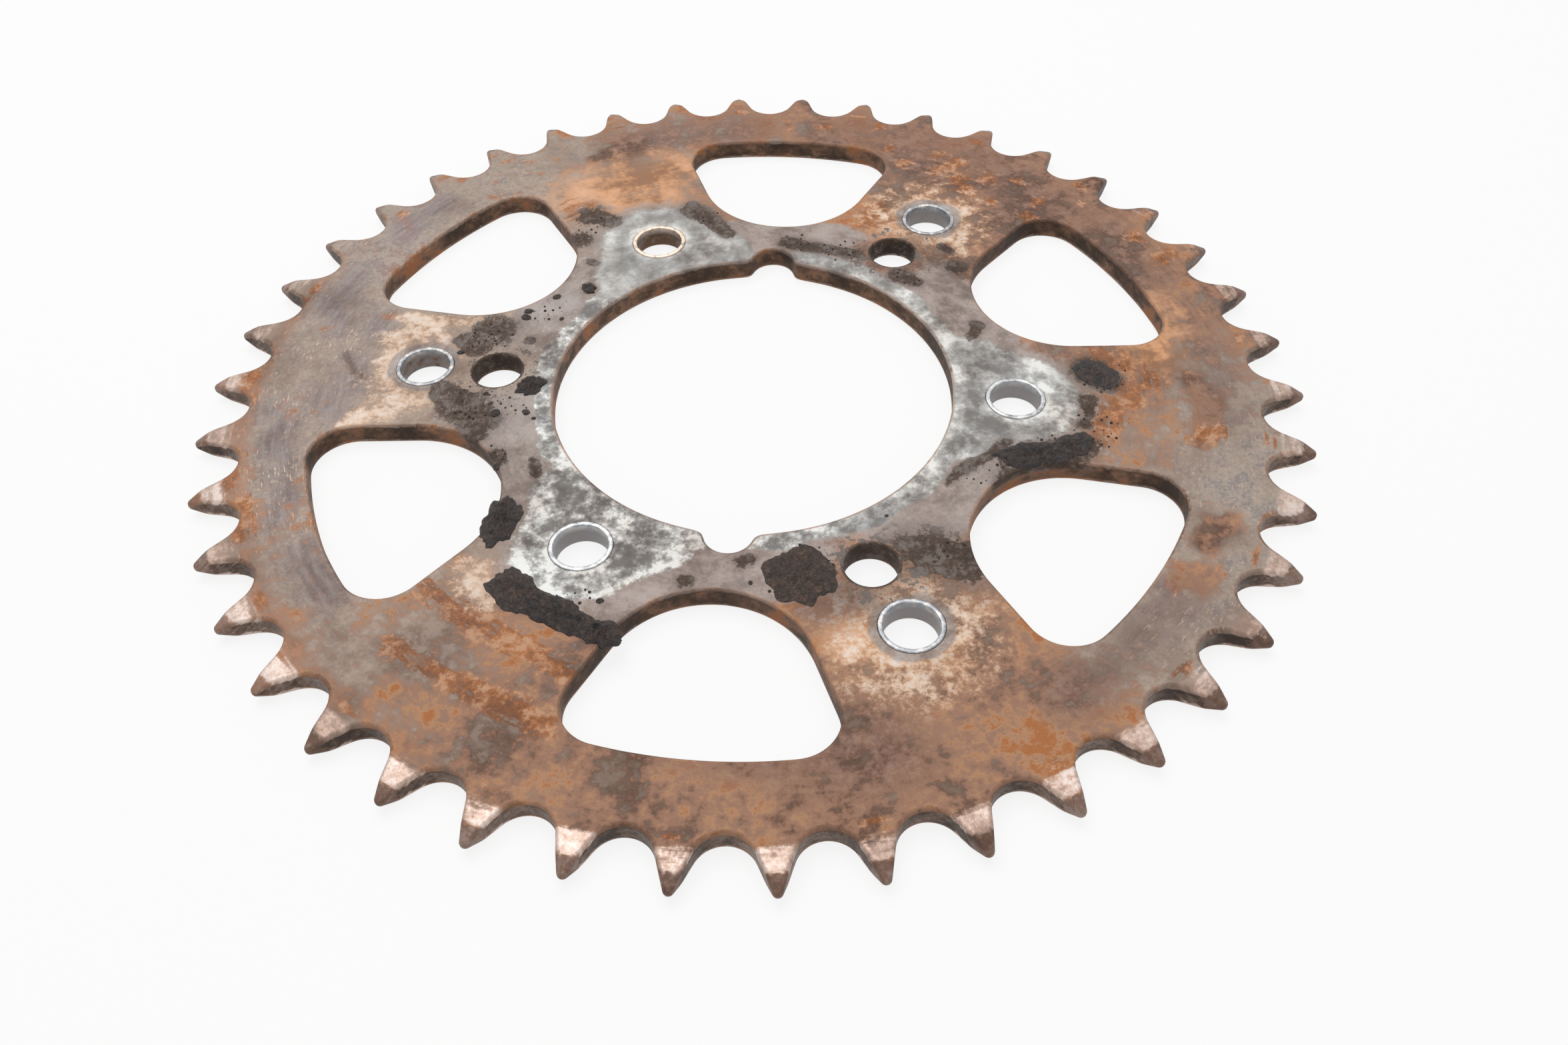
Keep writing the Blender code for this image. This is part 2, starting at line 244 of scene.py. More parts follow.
class SprocketSizes(bpy.types.PropertyGroup):
    """Sizes of the sprocket, in metres."""
    tooth_count: IntProperty(name="Teeth", description="Number of teeth", default=42, min=9)
    chain_pitch: length("Chain pitch", "Distance between chain rollers", 0.015875)
    seat_radius: length("Roller seat", "Radius of the seat between teeth", 0.00528)
    tip_radius: length("Tip radius", "Axle to tooth tip", PLATE_HIGH.x)
    tip_round: length("Tip rounding", "Radius of the tooth tip in plan", 0.0009)
    thickness: length("Thickness", "Thickness of the plate", PLATE_HIGH.z - PLATE_LOW.z)
    relief_setback: length("Relief setback", "Root circle to the start of the side relief", 0.0018)
    tip_bevel: length("Tip bevel", "Length of the steep slope at the tip", 0.0030)
    shoulder_drop: length("Shoulder drop", "Depth of the first slope at its end", 0.0003)
    tip_edge: length("Tip edge", "Thickness left at the tooth tip", 0.0012)
    bore_radius: length("Bore radius", "Radius of the centre bore", 0.0403)
    notch_radius: length("Notch radius", "Radius of the two notches in the bore", 0.0047)
    notch_lead: length("Notch lead-in", "Width of the eased mouth of a notch", 0.0024)
    rim_width: length("Rim width", "Root circle to the windows", 0.0127)
    corner_radius: length("Window corner", "Radius of the two outer window corners", 0.0080)
    corner_spread: length("Window spread", "Distance between the corner centres", 0.0304)
    nose_radius: length("Window nose", "Radius of the inner end of a window", 0.0195)
    nose_web: length("Window web", "Bore to the inner end of a window", 0.0132)
    bolt_circle: length("Bolt circle", "Radius of the inner bolt circle", 0.0526)
    hole_radius: length("Plain hole", "Radius of the three plain holes", 0.0050)
    collar_gap: length("Collar gap", "Dark line round each pressed-in collar", 0.00006)
    collar_wall: length("Collar wall", "Wall of a collar", 0.0009)
    collar_edge: length("Collar rim", "Radius on the rims of a collar", 0.00026)
    edge_round: length("Edge rounding", "Radius worn on every cut edge", 0.00032)
    seat_edge: length("Collar seat edge", "Radius left on the edge round a collar", 0.0001)
    tooth_edge_round: length("Tooth edge rounding", "Radius the chain has worn on the teeth", 0.0006)
    crease_ease: length("Crease easing", "Reach over which the tooth creases are worn round", 0.0014)
    mesh_step: length("Mesh step", "Spacing of the points on the faces", 0.00125)
    mount_clock: FloatProperty(name="Mount bearing", description="Bearing of the first outer collar",
                               default=math.radians(47.5), subtype="ANGLE")


class SprocketColours(bpy.types.PropertyGroup):
    """Colours of the worn finishes."""
    steel_dark: colour("Steel, dark", "Lilac-grey mill skin", "#8F8784")
    steel: colour("Steel", "Grey-brown weathered steel", "#AA9C92")
    steel_light: colour("Steel, light", "Rubbed steel", "#B9AA9E")
    mill_skin: colour("Mill skin", "Lilac-grey rolled skin of the plate", "#8A8083")
    # The darker purple-brown of these patches
    rust_dark: colour("Rust, dark", "Old dark rust", "#765848")
    dark_purple_patch: colour("Old rust", "Purple-brown rust set hard", "#7C6158")
    rust: colour("Rust", "Brown rust", "#AA826C")
    rust_light: colour("Rust, light", "Dry tan rust", "#C0926F")
    tan: colour("Tan rust", "Smooth dry tan rust", "#EDB488")
    orange: colour("Orange rust", "Fresh powdery rust", "#B4713F")
    pale: colour("Pale rust", "Cream bloom round the bolts", "#FADCC2")
    print_dark: colour("Seat print, dark", "Grey of the hub's seat print", "#878584")
    print_light: colour("Seat print, light", "White bloom on the seat print", "#F7F8F5")
    lilac: colour("Lilac band", "Smooth grey band beside the seat print", "#A99E99")
    # Brown stain, also painted along the scraped groove as its shade
    stain_and_groove_shade: colour("Stain", "Brown fringe round the grime", "#746058")
    # Dry dirt, also used as painted shade down the plain holes
    grime_and_shade: colour("Grime", "Dry black-brown dirt", "#54443A")
    # Rubbed steel, painted pale enough to stand for the highlight on the teeth as well
    polish_and_highlight: colour("Polish", "Steel rubbed bright by the chain", "#D3BAAD")
    tip: colour("Tip", "Brown skin on the steep tip slope", "#84695C")
    # The cut edges' own dark oxide, painted darker still as shade on the walls
    wall: colour("Cut wall", "Dark brown of the cut edges", "#604837")
    grease: colour("Grease", "Caked chain grease", "#2C2727")
    zinc: colour("Zinc", "Dull zinc plating", "#9FA1A5")
    floor: colour("Floor", "Studio floor", "#FAFAFA")


class SprocketStage(bpy.types.PropertyGroup):
    """Camera and light."""
    lens: FloatProperty(name="Lens", description="Focal length in mm", default=31.016)
    sensor: FloatProperty(name="Sensor", description="Width of the sensor in mm", default=36)
    eye: FloatVectorProperty(name="Eye", description="Camera position", subtype="TRANSLATION",
                             default=(-0.016329, -0.202354, 0.188722))
    right: FloatVectorProperty(name="Right", description="Camera's right", subtype="DIRECTION",
                               default=(0.99228, -0.12330, -0.01332))
    up: FloatVectorProperty(name="Up", description="Camera's up", subtype="DIRECTION",
                            default=(0.10061, 0.73755, 0.66776))
    softbox_power: FloatProperty(name="Softbox", description="Power of the overhead softbox",
                                 default=2.7, unit="POWER")
    sky: FloatProperty(name="Sky", description="Level of the even studio light", default=0.52)


def collar_circle(node):
    """Centre and outer radius of a collar's solid."""
    low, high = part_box(node)
    return (low.x + high.x) / 2, (low.y + high.y) / 2, (high.x - low.x) / 2


def arc(cx, cy, radius, start, end, step):
    """Points along an arc, both ends included, no further apart than the step."""
    count = max(2, math.ceil(abs(end - start) * radius / step))
    angles = np.linspace(start, end, count + 1)
    return np.column_stack((cx + radius * np.cos(angles), cy + radius * np.sin(angles)))


def turned(points, angle):
    """The points turned about the axle."""
    cos_a, sin_a = math.cos(angle), math.sin(angle)
    return points @ np.array(((cos_a, sin_a), (-sin_a, cos_a)))


def closed_even(points, step):
    """A closed loop with its doubles dropped and its long sides split up."""
    kept = []
    for i, here in enumerate(points):
        there = points[(i + 1) % len(points)]
        gap = math.dist(here, there)
        if gap < step * 0.05:
            continue
        parts = math.ceil(gap / (step * 1.3))
        kept += [here + (there - here) * k / parts for k in range(parts)]
    return np.array(kept)


def softened(points, rounds):
    """A closed loop with its corners eased."""
    for _ in range(rounds):
        points = 0.5 * points + 0.25 * (np.roll(points, 1, 0) + np.roll(points, -1, 0))
    return points


class PlateShape:
    """The plate's outline loops and the height of its faces, from the sizes."""

    def __init__(self, sizes):
        self.sizes = sizes
        self.step = math.tau / sizes.tooth_count
        self.pitch_radius = sizes.chain_pitch / (2 * math.sin(self.step / 2))
        self.root = self.pitch_radius - sizes.seat_radius
        self.half = sizes.thickness / 2
        self.middle = PLATE_LOW.z + self.half
        self.relief_start = self.root + sizes.relief_setback
        self.shoulder = sizes.tip_radius - sizes.tip_bevel

    def teeth(self):
        """Round tips and round roller seats joined by straight flanks."""
        sizes = self.sizes
        tip_centre = sizes.tip_radius - sizes.tip_round
        seat_x = self.pitch_radius * math.cos(self.step / 2)
        seat_y = self.pitch_radius * math.sin(self.step / 2)
        reach = math.hypot(seat_x - tip_centre, seat_y)
        flank = math.atan2(seat_y, seat_x - tip_centre)
        flank -= math.acos((sizes.seat_radius + sizes.tip_round) / reach)
        tip = arc(tip_centre, 0, sizes.tip_round, -flank, flank, TIP_STEP)
        seat = arc(seat_x, seat_y, sizes.seat_radius, math.pi + flank,
                   math.pi + self.step - flank, SEAT_STEP)
        tooth = np.vstack((tip, seat))
        ring = np.vstack([turned(tooth, k * self.step) for k in range(sizes.tooth_count)])
        return closed_even(ring, FLANK_STEP)

    def bore(self):
        """The centre bore with two opposite notches."""
        sizes = self.sizes
        mouth = (sizes.notch_radius + sizes.notch_lead) / sizes.bore_radius
        half = np.vstack((
            arc(0, 0, sizes.bore_radius, mouth, math.pi - mouth, BORE_STEP),
            arc(-sizes.bore_radius, 0, sizes.notch_radius, math.pi / 2, math.pi * 1.5, NOTCH_STEP),
        ))
        clock = sizes.mount_clock + math.pi / 6
        loop = closed_even(np.vstack((turned(half, clock), turned(half, clock + math.pi))), NOTCH_STEP)
        return softened(loop, 6)[::-1]

    def window(self, angle):
        """A rounded triangle whose nose points at the bore."""
        sizes = self.sizes
        outer = self.root - sizes.rim_width
        orbit = outer - sizes.corner_radius
        corner_y = sizes.corner_spread / 2
        bearing = math.asin(corner_y / orbit)
        corner_x = orbit * math.cos(bearing)
        nose_x = sizes.bore_radius + sizes.nose_web + sizes.nose_radius
        reach = math.hypot(corner_x - nose_x, corner_y)
        side = math.atan2(corner_y, corner_x - nose_x)
        side += math.acos((sizes.nose_radius - sizes.corner_radius) / reach)
        upper = arc(corner_x, corner_y, sizes.corner_radius, bearing, side, WINDOW_STEP)
        nose = arc(nose_x, 0, sizes.nose_radius, side, math.tau - side, WINDOW_STEP)
        rim = arc(0, 0, outer, -bearing, bearing, WINDOW_STEP)
        loop = np.vstack((upper, nose, upper[::-1] * (1, -1), rim))
        return closed_even(turned(loop, angle), WINDOW_STEP)[::-1]

    def loops(self):
        """Every loop with its kind, metal on its left."""
        sizes = self.sizes
        found = [("teeth", self.teeth()), ("bore", self.bore())]
        for i in range(6):
            found.append(("window", self.window(sizes.mount_clock + math.pi / 3 * (i + 0.5))))
        for i in range(3):
            angle = sizes.mount_clock + math.tau / 3 * i
            x, y = sizes.bolt_circle * math.cos(angle), sizes.bolt_circle * math.sin(angle)
            found.append(("hole", arc(x, y, sizes.hole_radius, math.tau, 0, HOLE_STEP)[:-1]))
        for node in COLLAR_NODES:
            x, y, radius = collar_circle(node)
            seat = arc(x, y, radius + sizes.collar_gap, math.tau, 0, HOLE_STEP)[:-1]
            found.append(("collar seat", seat))
        return found

    def half_height(self, points):
        """Half the plate's thickness at each point, with the side relief of the teeth."""
        sizes = self.sizes
        radius = np.hypot(points[:, 0], points[:, 1])
        # Wear has eased both creases, so the straight slopes are averaged over a short reach
        total = 0
        for ease in np.linspace(-0.5, 0.5, 7) * sizes.crease_ease:
            total += np.interp(radius + ease, (self.relief_start, self.shoulder, sizes.tip_radius),
                               (self.half, self.half - sizes.shoulder_drop, sizes.tip_edge / 2))
        return total / 7


def outward(loop):
    """Unit normals out of the metal, stretched at corners so that offsets stay parallel."""
    ahead = np.roll(loop, -1, 0) - loop
    ahead /= np.linalg.norm(ahead, axis=1)[:, None]
    side = np.column_stack((ahead[:, 1], -ahead[:, 0]))
    mean = side + np.roll(side, 1, 0)
    mean /= np.linalg.norm(mean, axis=1)[:, None]
    return mean / np.maximum((mean * side).sum(1), 0.7)[:, None]


def inside(points, loops):
    """Which points lie in the metal, by counting crossings of every loop."""
    odd = np.zeros(len(points), bool)
    for loop in loops:
        after = np.roll(loop, -1, 0)
        for (x1, y1), (x2, y2) in zip(loop, after):
            if y1 == y2:
                continue
            low, high = min(y1, y2), max(y1, y2)
            near = np.nonzero((points[:, 1] >= low) & (points[:, 1] < high))[0]
            across = x1 + (points[near, 1] - y1) / (y2 - y1) * (x2 - x1)
            hit = near[points[near, 0] < across]
            odd[hit] ^= True
    return odd


def from_stretch(points_mm, start, end):
    """How far along a straight stretch each point lies, from 0 to 1, and its distance from it."""
    x, y = start[:2]
    along = np.array((end[0] - x, end[1] - y))
    share = np.clip(((points_mm - (x, y)) @ along) / max(along @ along, 1e-9), 0, 1)
    away = np.hypot(points_mm[:, 0] - x - share * along[0], points_mm[:, 1] - y - share * along[1])
    return share, away


def stroke_mask(points_mm, strokes, soft=0.35):
    """How deep each point lies in any of the strokes: 0.5 on the border, 1 well inside."""
    best = np.zeros(len(points_mm))
    for stroke in strokes:
        for start, end in list(zip(stroke, stroke[1:])) or [(stroke[0], stroke[0])]:
            share, away = from_stretch(points_mm, start, end)
            depth = 0.5 + (1 - away / (start[2] + (end[2] - start[2]) * share)) / (4 * soft)
            best = np.maximum(best, np.clip(depth, 0, 1))
    return best


def wavy(points_mm, size, shift=0.0):
    """Smooth noise between -1 and 1 at a size in mm."""
    return np.array([noise.noise(Vector((x / size + shift, y / size - shift, shift)))
                     for x, y in points_mm])


def gouge_depth(points_mm):
    """Depth in mm of the scraped groove on the rim, with its turned-up lip."""
    across = np.full(len(points_mm), 9.0)
    for start, end in zip(GOUGE, GOUGE[1:]):
        across = np.minimum(across, from_stretch(points_mm, start, end)[1] / start[2])
    return GROOVE_DEPTH * np.exp(-(across ** 2)) - GROOVE_LIP * np.exp(-((across - 1.9) ** 2) * 2)


def nearest(points):
    """A search tree over points in the plane."""
    tree = kdtree.KDTree(len(points))
    for i, (x, y) in enumerate(points):
        tree.insert((x, y, 0), i)
    tree.balance()
    return tree


def face_points(shape, borders):
    """Points for the faces: an even grid, closer rows at the tooth creases and the groove."""
    sizes = shape.sizes
    step = sizes.mesh_step
    rows = np.arange(-sizes.tip_radius, sizes.tip_radius, step * 0.866)
    cols = np.arange(-sizes.tip_radius, sizes.tip_radius, step)
    grid = [np.column_stack((cols + (step / 2 if i % 2 else 0), np.full(len(cols), y)))
            for i, y in enumerate(rows)]
    extra = []
    for crease in (shape.relief_start, shape.shoulder):
        for nudge in (-CREASE_SIDE, CREASE_SIDE):
            extra.append(arc(0, 0, crease + nudge, 0, math.tau, CREASE_STEP)[:-1])
    for (x1, y1, _), (x2, y2, _) in zip(GOUGE, GOUGE[1:]):
        across = np.array((y1 - y2, x2 - x1)) / math.hypot(x2 - x1, y2 - y1)
        for offset in (-1.6, -1.1, -0.7, -0.35, 0, 0.35, 0.7, 1.1, 1.6):
            line = np.linspace((x1, y1), (x2, y2), 9)[:-1] + across * offset
            extra.append(line * MM)
    to_border = nearest(np.vstack(borders))
    extra = np.vstack(extra)
    extra = extra[inside(extra, borders)]
    extra = np.array([p for p in extra if to_border.find((*p, 0))[2] > FACE_INSET])
    to_extra = nearest(extra)
    grid = np.vstack(grid)
    grid = grid[inside(grid, borders)]
    grid = np.array([p for p in grid if to_border.find((*p, 0))[2] > step * 0.5
                     and to_extra.find((*p, 0))[2] > step * 0.45])
    return np.vstack((extra, grid))


def edge_rings(shape, kind, loop):
    """Rings of points from the front face over the worn edge, down the wall and round to the back."""
    sizes = shape.sizes
    worn = {"teeth": sizes.tooth_edge_round, "collar seat": sizes.seat_edge}.get(kind, sizes.edge_round)
    round_off = np.minimum(worn, shape.half_height(loop) * 0.7)[:, None]
    out = outward(loop)
    rings = []
    for angle in np.radians((0, 30, 60, 90)):
        place = loop - out * round_off * (1 - math.cos(angle))
        rise = shape.half_height(place) - round_off[:, 0] * (1 - math.sin(angle))
        rings.append((place, rise, "edge"))
    inset = loop - out * (round_off + FACE_INSET)
    rings.append((inset, shape.half_height(inset), "face"))
    wall = [(loop, rings[0][1] * level, "wall") for level in (0.5, 0, -0.5)]
    return rings[::-1] + wall + [(place, -rise, part) for place, rise, part in rings]


def face_triangles(borders, points):
    """Triangles that fill the metal between the borders, over the borders' points and then the rest."""
    flat = np.vstack(borders + [points])
    edges, base = [], 0
    for border in borders:
        count = len(border)
        edges += [(base + i, base + (i + 1) % count) for i in range(count)]
        base += count
    result = delaunay_2d_cdt([Vector(p / MM) for p in flat], edges, [], 0, 1e-6)
    if len(result[0]) != len(flat):
        raise RuntimeError("the outline loops of the plate cross each other")
    order = np.array([ids[0] for ids in result[3]])
    triangles = order[np.array(result[2])]
    # A triangle with a point inside the face is in the metal, and the others are tried at their middles
    sure = (triangles >= base).any(1)
    sure[~sure] = inside(flat[triangles[~sure]].mean(1), borders)
    triangles = triangles[sure]
    a, b, c = flat[triangles].transpose(1, 0, 2)
    back = np.cross(b - a, c - a) < 0
    triangles[back] = triangles[back][:, ::-1]
    return triangles


def plate_mesh(shape):
    """The plate as one closed mesh, with its kind of surface noted for every point."""
    verts, faces, kinds = [], [], []
    borders, tops, bottoms = [], [], []
    start = 0
    for kind, loop in shape.loops():
        rows = edge_rings(shape, kind, loop)
        count = len(loop)
        for place, height, part in rows:
            verts.append(np.column_stack((place, height + shape.middle)))
            kinds += [(kind, part)] * count
        ring = np.arange(count)
        after = np.roll(ring, -1)
        for row in range(len(rows) - 1):
            a, b = start + row * count, start + (row + 1) * count
            faces += np.column_stack((a + ring, b + ring, b + after, a + after)).tolist()
        borders.append(rows[0][0])
        tops.append(start + ring)
        start += len(rows) * count
        bottoms.append(start - count + ring)
    points = face_points(shape, borders)
    triangles = face_triangles(borders, points)
    height = shape.half_height(points)
    for sign, rims in ((1, tops), (-1, bottoms)):
        names = np.concatenate(rims + [start + np.arange(len(points))])
        verts.append(np.column_stack((points, shape.middle + sign * height)))
        kinds += [("face", "face")] * len(points)
        start += len(points)
        faces += names[triangles[:, ::sign]].tolist()
    return np.vstack(verts), faces, kinds


def print_masks(sizes, flat_mm, radius, bearing):
    """The hub's seat: cover, bloom and evenness of its print, the band beside it, stained holes."""
    seat = np.clip(0.5 + (PRINT_RADIUS - radius + 1.8 * wavy(flat_mm, 7, 1.7)) / 3.0, 0, 1)
    band = np.clip(0.5 + (BAND_RADIUS - radius + 1.5 * wavy(flat_mm, 12, 5.2)) / 4.0, 0, 1)
    calm = np.interp(bearing, (-180, -100, -60, 0, 60, 110, 150, 180), (0, 0, 0.3, 0.5, 0.5, 0.4, 0, 0))
    bloom = 0.25 * wavy(flat_mm, 6, 7.7) - 0.05
    for x, y, reach, lighter in PRINT_PATCHES:
        bloom += lighter * stroke_mask(flat_mm, [((x, y, reach),)], 0.6)
    # A chalky line runs along the bore on the right
    chalky = np.interp(bearing, (-60, -40, 30, 60), (0, 1, 1, 0))
    bloom += 0.3 * np.clip((CHALK_RADIUS - radius) / 2, 0, 1) * chalky
    bolt_mm = sizes.bolt_circle / MM
    hole = np.zeros(len(flat_mm))
    for i, (fresh, quiet) in enumerate(LOBE_BLOOM):
        spoke = sizes.mount_clock + math.tau / 3 * i
        plain = np.array((math.cos(spoke), math.sin(spoke))) * bolt_mm
        hole = np.maximum(hole, stroke_mask(flat_mm, [((*plain, HOLE_STAIN),)], 0.4))
        out = np.array((math.cos(spoke + math.pi / 3), math.sin(spoke + math.pi / 3)))
        aside = np.array((-out[1], out[0]))
        lug = out * bolt_mm
        feet = [lug - out * LOBE_FOOT + aside * side * LOBE_FOOT for side in (-1, 1)]
        inset = stroke_mask(flat_mm, [((*lug, LOBE_RADIUS), (*foot, FOOT_RADIUS)) for foot in feet], 0.12)
        seat = np.maximum(seat, inset)
        band = np.maximum(band, stroke_mask(flat_mm, [((*lug, LOBE_BAND),)], 0.2))
        calm = np.maximum(calm, quiet * np.clip(inset * 2, 0, 1))
        # The lobe's border has bloomed white, most of all on the lobe to the near left
        bloom += fresh * np.clip(1 - np.abs(inset - 0.72) / 0.24, 0, 1)
        bloom += (fresh - 0.3) * 0.5 * (inset > 0.3)
        around = np.hypot(*(flat_mm - lug).T)
        bloom += 0.3 * np.clip(1 - np.abs(around - LUG_BLOOM) / 1.2, 0, 1)
    # A grey ring of bared steel lies round each outer collar
    for node in COLLAR_NODES[:3]:
        x, y, reach = (size / MM for size in collar_circle(node))
        band = np.maximum(band, stroke_mask(flat_mm, [((x, y, reach + COLLAR_RING),)], 0.05))
    band = np.maximum(band, stroke_mask(flat_mm, LILAC_PATCHES))
    return seat, bloom, calm, band, hole


def tooth_masks(shape, flat_mm, radius, bearing):
    """The teeth: chain polish with a painted highlight on it, brown tips, rust dots and rust creeping from
    the roots.
    """
    root, start, shoulder, tip_end = (
        size / MM for size in (shape.root, shape.relief_start, shape.shoulder, shape.sizes.tip_radius))
    local = np.radians(bearing) / shape.step
    aside = local - np.round(local)
    odd = np.round(local).astype(int) % 2
    # Polish lies on the first slope of each tooth, brightest on every other tooth; its pale colour is also a
    # painted highlight, strongest on the near and left teeth
    highlight_by_bearing = np.interp(bearing, (-180, -150, -30, -10, 15, 40, 135, 155, 180),
                       (0.85, 1, 0.95, 0.6, 0.42, 0.15, 0.1, 0.5, 0.85))
    slope = np.clip((radius - start + 0.5) / 2.6, 0, 1) * np.clip((shoulder + 0.25 - radius) / 0.4, 0, 1)
    wide_mm = np.interp(radius, (root, shoulder, tip_end), (5.5, 2.2, 1))
    aside_mm = np.abs(aside) * shape.step * radius
    polish_and_highlight = slope * (0.8 + 0.2 * odd) * highlight_by_bearing * np.clip((wide_mm - aside_mm) / 0.9, 0.3, 1)
    tip = np.clip((radius - shoulder + 0.05) / 0.3, 0, 1)
    dot = np.exp(-((radius - root - 0.6) / 1.1) ** 2) * (1 - odd) * np.exp(-(aside / 0.13) ** 2)
    # Rust creeps out of the roots on the side where the chain has not polished it off
    left = np.interp(bearing, (-142, -118, 140, 158), (1, 0, 0, 1))
    creep = np.exp(-((radius - root - 0.2) / 2.8) ** 2) * (0.72 + 0.25 * wavy(flat_mm, 9, 6.6)) * left
    return polish_and_highlight, tip * (1 - 0.45 * left), np.maximum(0.8 * dot, 0.55 * tip * left), creep


def wear_masks(shape, verts, kinds):
    """Named masks of the worn finishes, and of painted highlight and shade, for every point of the plate."""
    flat_mm = verts[:, :2] / MM
    radius = np.hypot(flat_mm[:, 0], flat_mm[:, 1])
    bearing = np.degrees(np.arctan2(flat_mm[:, 1], flat_mm[:, 0]))
    front = verts[:, 2] > shape.middle
    owner, part = np.array(kinds).T
    wall, edge = part == "wall", part == "edge"
    rust = np.interp(bearing, *zip(*RUST_BY_BEARING)) + 0.12 * wavy(flat_mm, 23, 3.1)
    # Grey steel is left along the teeth on the right
    bare = np.interp(bearing, (-62, -48, -8, 4), (0, 1, 1, 0)) * np.clip((radius - BARE_RIM) / 6, 0, 1)
    rust = np.maximum(rust - 0.45 * bare, stroke_mask(flat_mm, BROWN_RUST) * 1.1)
    rust = np.where(front, rust, 0.62 + 0.5 * wavy(flat_mm, 31, 8.4))
    seat, bloom, calm, band, hole = print_masks(shape.sizes, flat_mm, radius, bearing)
    polish_and_highlight, tip, rust_dots, creep = tooth_masks(shape, flat_mm, radius, bearing)
    grime_and_shade = np.maximum(stroke_mask(flat_mm, GRIME_STAINS, 0.2), hole * 0.62) * front
    # The edges and walls of the plain holes are painted fully dark as shade
    grime_and_shade = np.where((owner == "hole") & (part != "face"), 1.0, grime_and_shade)
    grime_and_shade = np.where(~front & ~wall, 0.55 * hole + 0.25 * np.abs(wavy(flat_mm, 17, 4.4)), grime_and_shade)
    front_only = {
        "grey_skin": stroke_mask(flat_mm, GREY_SKIN, 0.7),
        "chipped": stroke_mask(flat_mm, CHIPPED, 0.7),
        "root_rust": np.clip(creep, 0, 1),
        "orange": np.maximum(stroke_mask(flat_mm, ORANGE_RUST), rust_dots),
        "dark_purple_patch": stroke_mask(flat_mm, DARK_PURPLE_PATCHES, 0.6),
        "tan": stroke_mask(flat_mm, DRY_TAN, 0.55),
        "pale": stroke_mask(flat_mm, PALE_HALOS, 0.5),
        "band": band * (1 - hole),
        "seat_print": seat,
        # The stain round grime and oil, and painted shade along the groove
        "stain_and_groove_shade": stroke_mask(flat_mm, (*GRIME_STAINS, *OIL_DRIFTS, GOUGE), 0.8),
    }
    return {name: mask * front for name, mask in front_only.items()} | {
        "rust": np.clip(rust, 0, 1),
        "print_bloom": bloom,
        "print_calm": calm,
        "grime_and_shade": grime_and_shade,
        "polish_and_highlight": polish_and_highlight * ~wall,
        "tip": tip,
        # Walls, and the roller seats between the teeth, take dark colours that are their oxide and partly
        # painted shade
        "cut_wall": np.where(wall, 1.0, 0.4 * (edge & (owner != "collar seat"))),
        "roller_seat": wall & (owner == "teeth"),
        "worn_edge": edge & ~np.isin(owner, ("hole", "collar seat")),
    }


def add_node(tree, kind, inputs=None, stops=None, **settings):
    """Add a node, set it up, and give each input a value or a link."""
    made = tree.nodes.new(kind)
    for key, value in settings.items():
        setattr(made, key, value)
    for key, value in (inputs or {}).items():
        if isinstance(value, bpy.types.NodeSocket):
            tree.links.new(value, made.inputs[key])
        else:
            made.inputs[key].default_value = value
    if stops:
        marks = made.color_ramp.elements
        while len(marks) < len(stops):
            marks.new(0.5)
        for mark, (place, shade) in zip(marks, stops):
            mark.position = place
            mark.color = (*shade, 1)
    return made


def new_material(name):
    """A material with an empty node tree."""
    material = bpy.data.materials.new(name)
    material.use_nodes = True
    material.node_tree.nodes.clear()
    return material, material.node_tree


def finish_material(tree, sockets):
    """Put a Principled shader with its named sockets on the output of a tree."""
    shader = add_node(tree, "ShaderNodeBsdfPrincipled", sockets)
    add_node(tree, "ShaderNodeOutputMaterial", {"Surface": shader.outputs[0]})


def between(a, b, part):
    """A colour part of the way from a to b."""
    return tuple(x + (y - x) * part for x, y in zip(a, b))


def shaded(middle, dark, light):
    """Three ramp stops about a colour, from a darker to a lighter share of it."""
    return ((0.15, between(middle, BLACK, dark)), (0.5, tuple(middle)), (0.85, between(middle, WHITE, light)))


def place_in_mm(tree):
    """The place on the piece, in mm."""
    place = add_node(tree, "ShaderNodeTexCoord").outputs["Object"]
    return add_node(tree, "ShaderNodeVectorMath", {0: place, "Scale": 1 / MM}, operation="SCALE").outputs[0]


def tones_of(tree, noises, blends):
    """Tones from 0 to 1 by name: noises as (place, patch size, detail, roughness), and their blends."""
    tones = {}
    for name, (place, size, detail, roughness) in noises.items():
        raw = add_node(tree, "ShaderNodeTexNoise", {
            "Vector": place, "Scale": 1 / size, "Detail": detail, "Roughness": roughness}).outputs[0]
        tones[name] = add_node(tree, "ShaderNodeMapRange", {0: raw, 1: 0.28, 2: 0.72}).outputs[0]
    for name, weights in blends.items():
        total = 0.0
        for part, weight in weights.items():
            total = add_node(tree, "ShaderNodeMath", {0: tones[part], 1: weight, 2: total},
                             operation="MULTIPLY_ADD").outputs[0]
        tones[name] = add_node(tree, "ShaderNodeMapRange", {0: total, 1: 0.3, 2: 0.7}).outputs[0]
    return tones


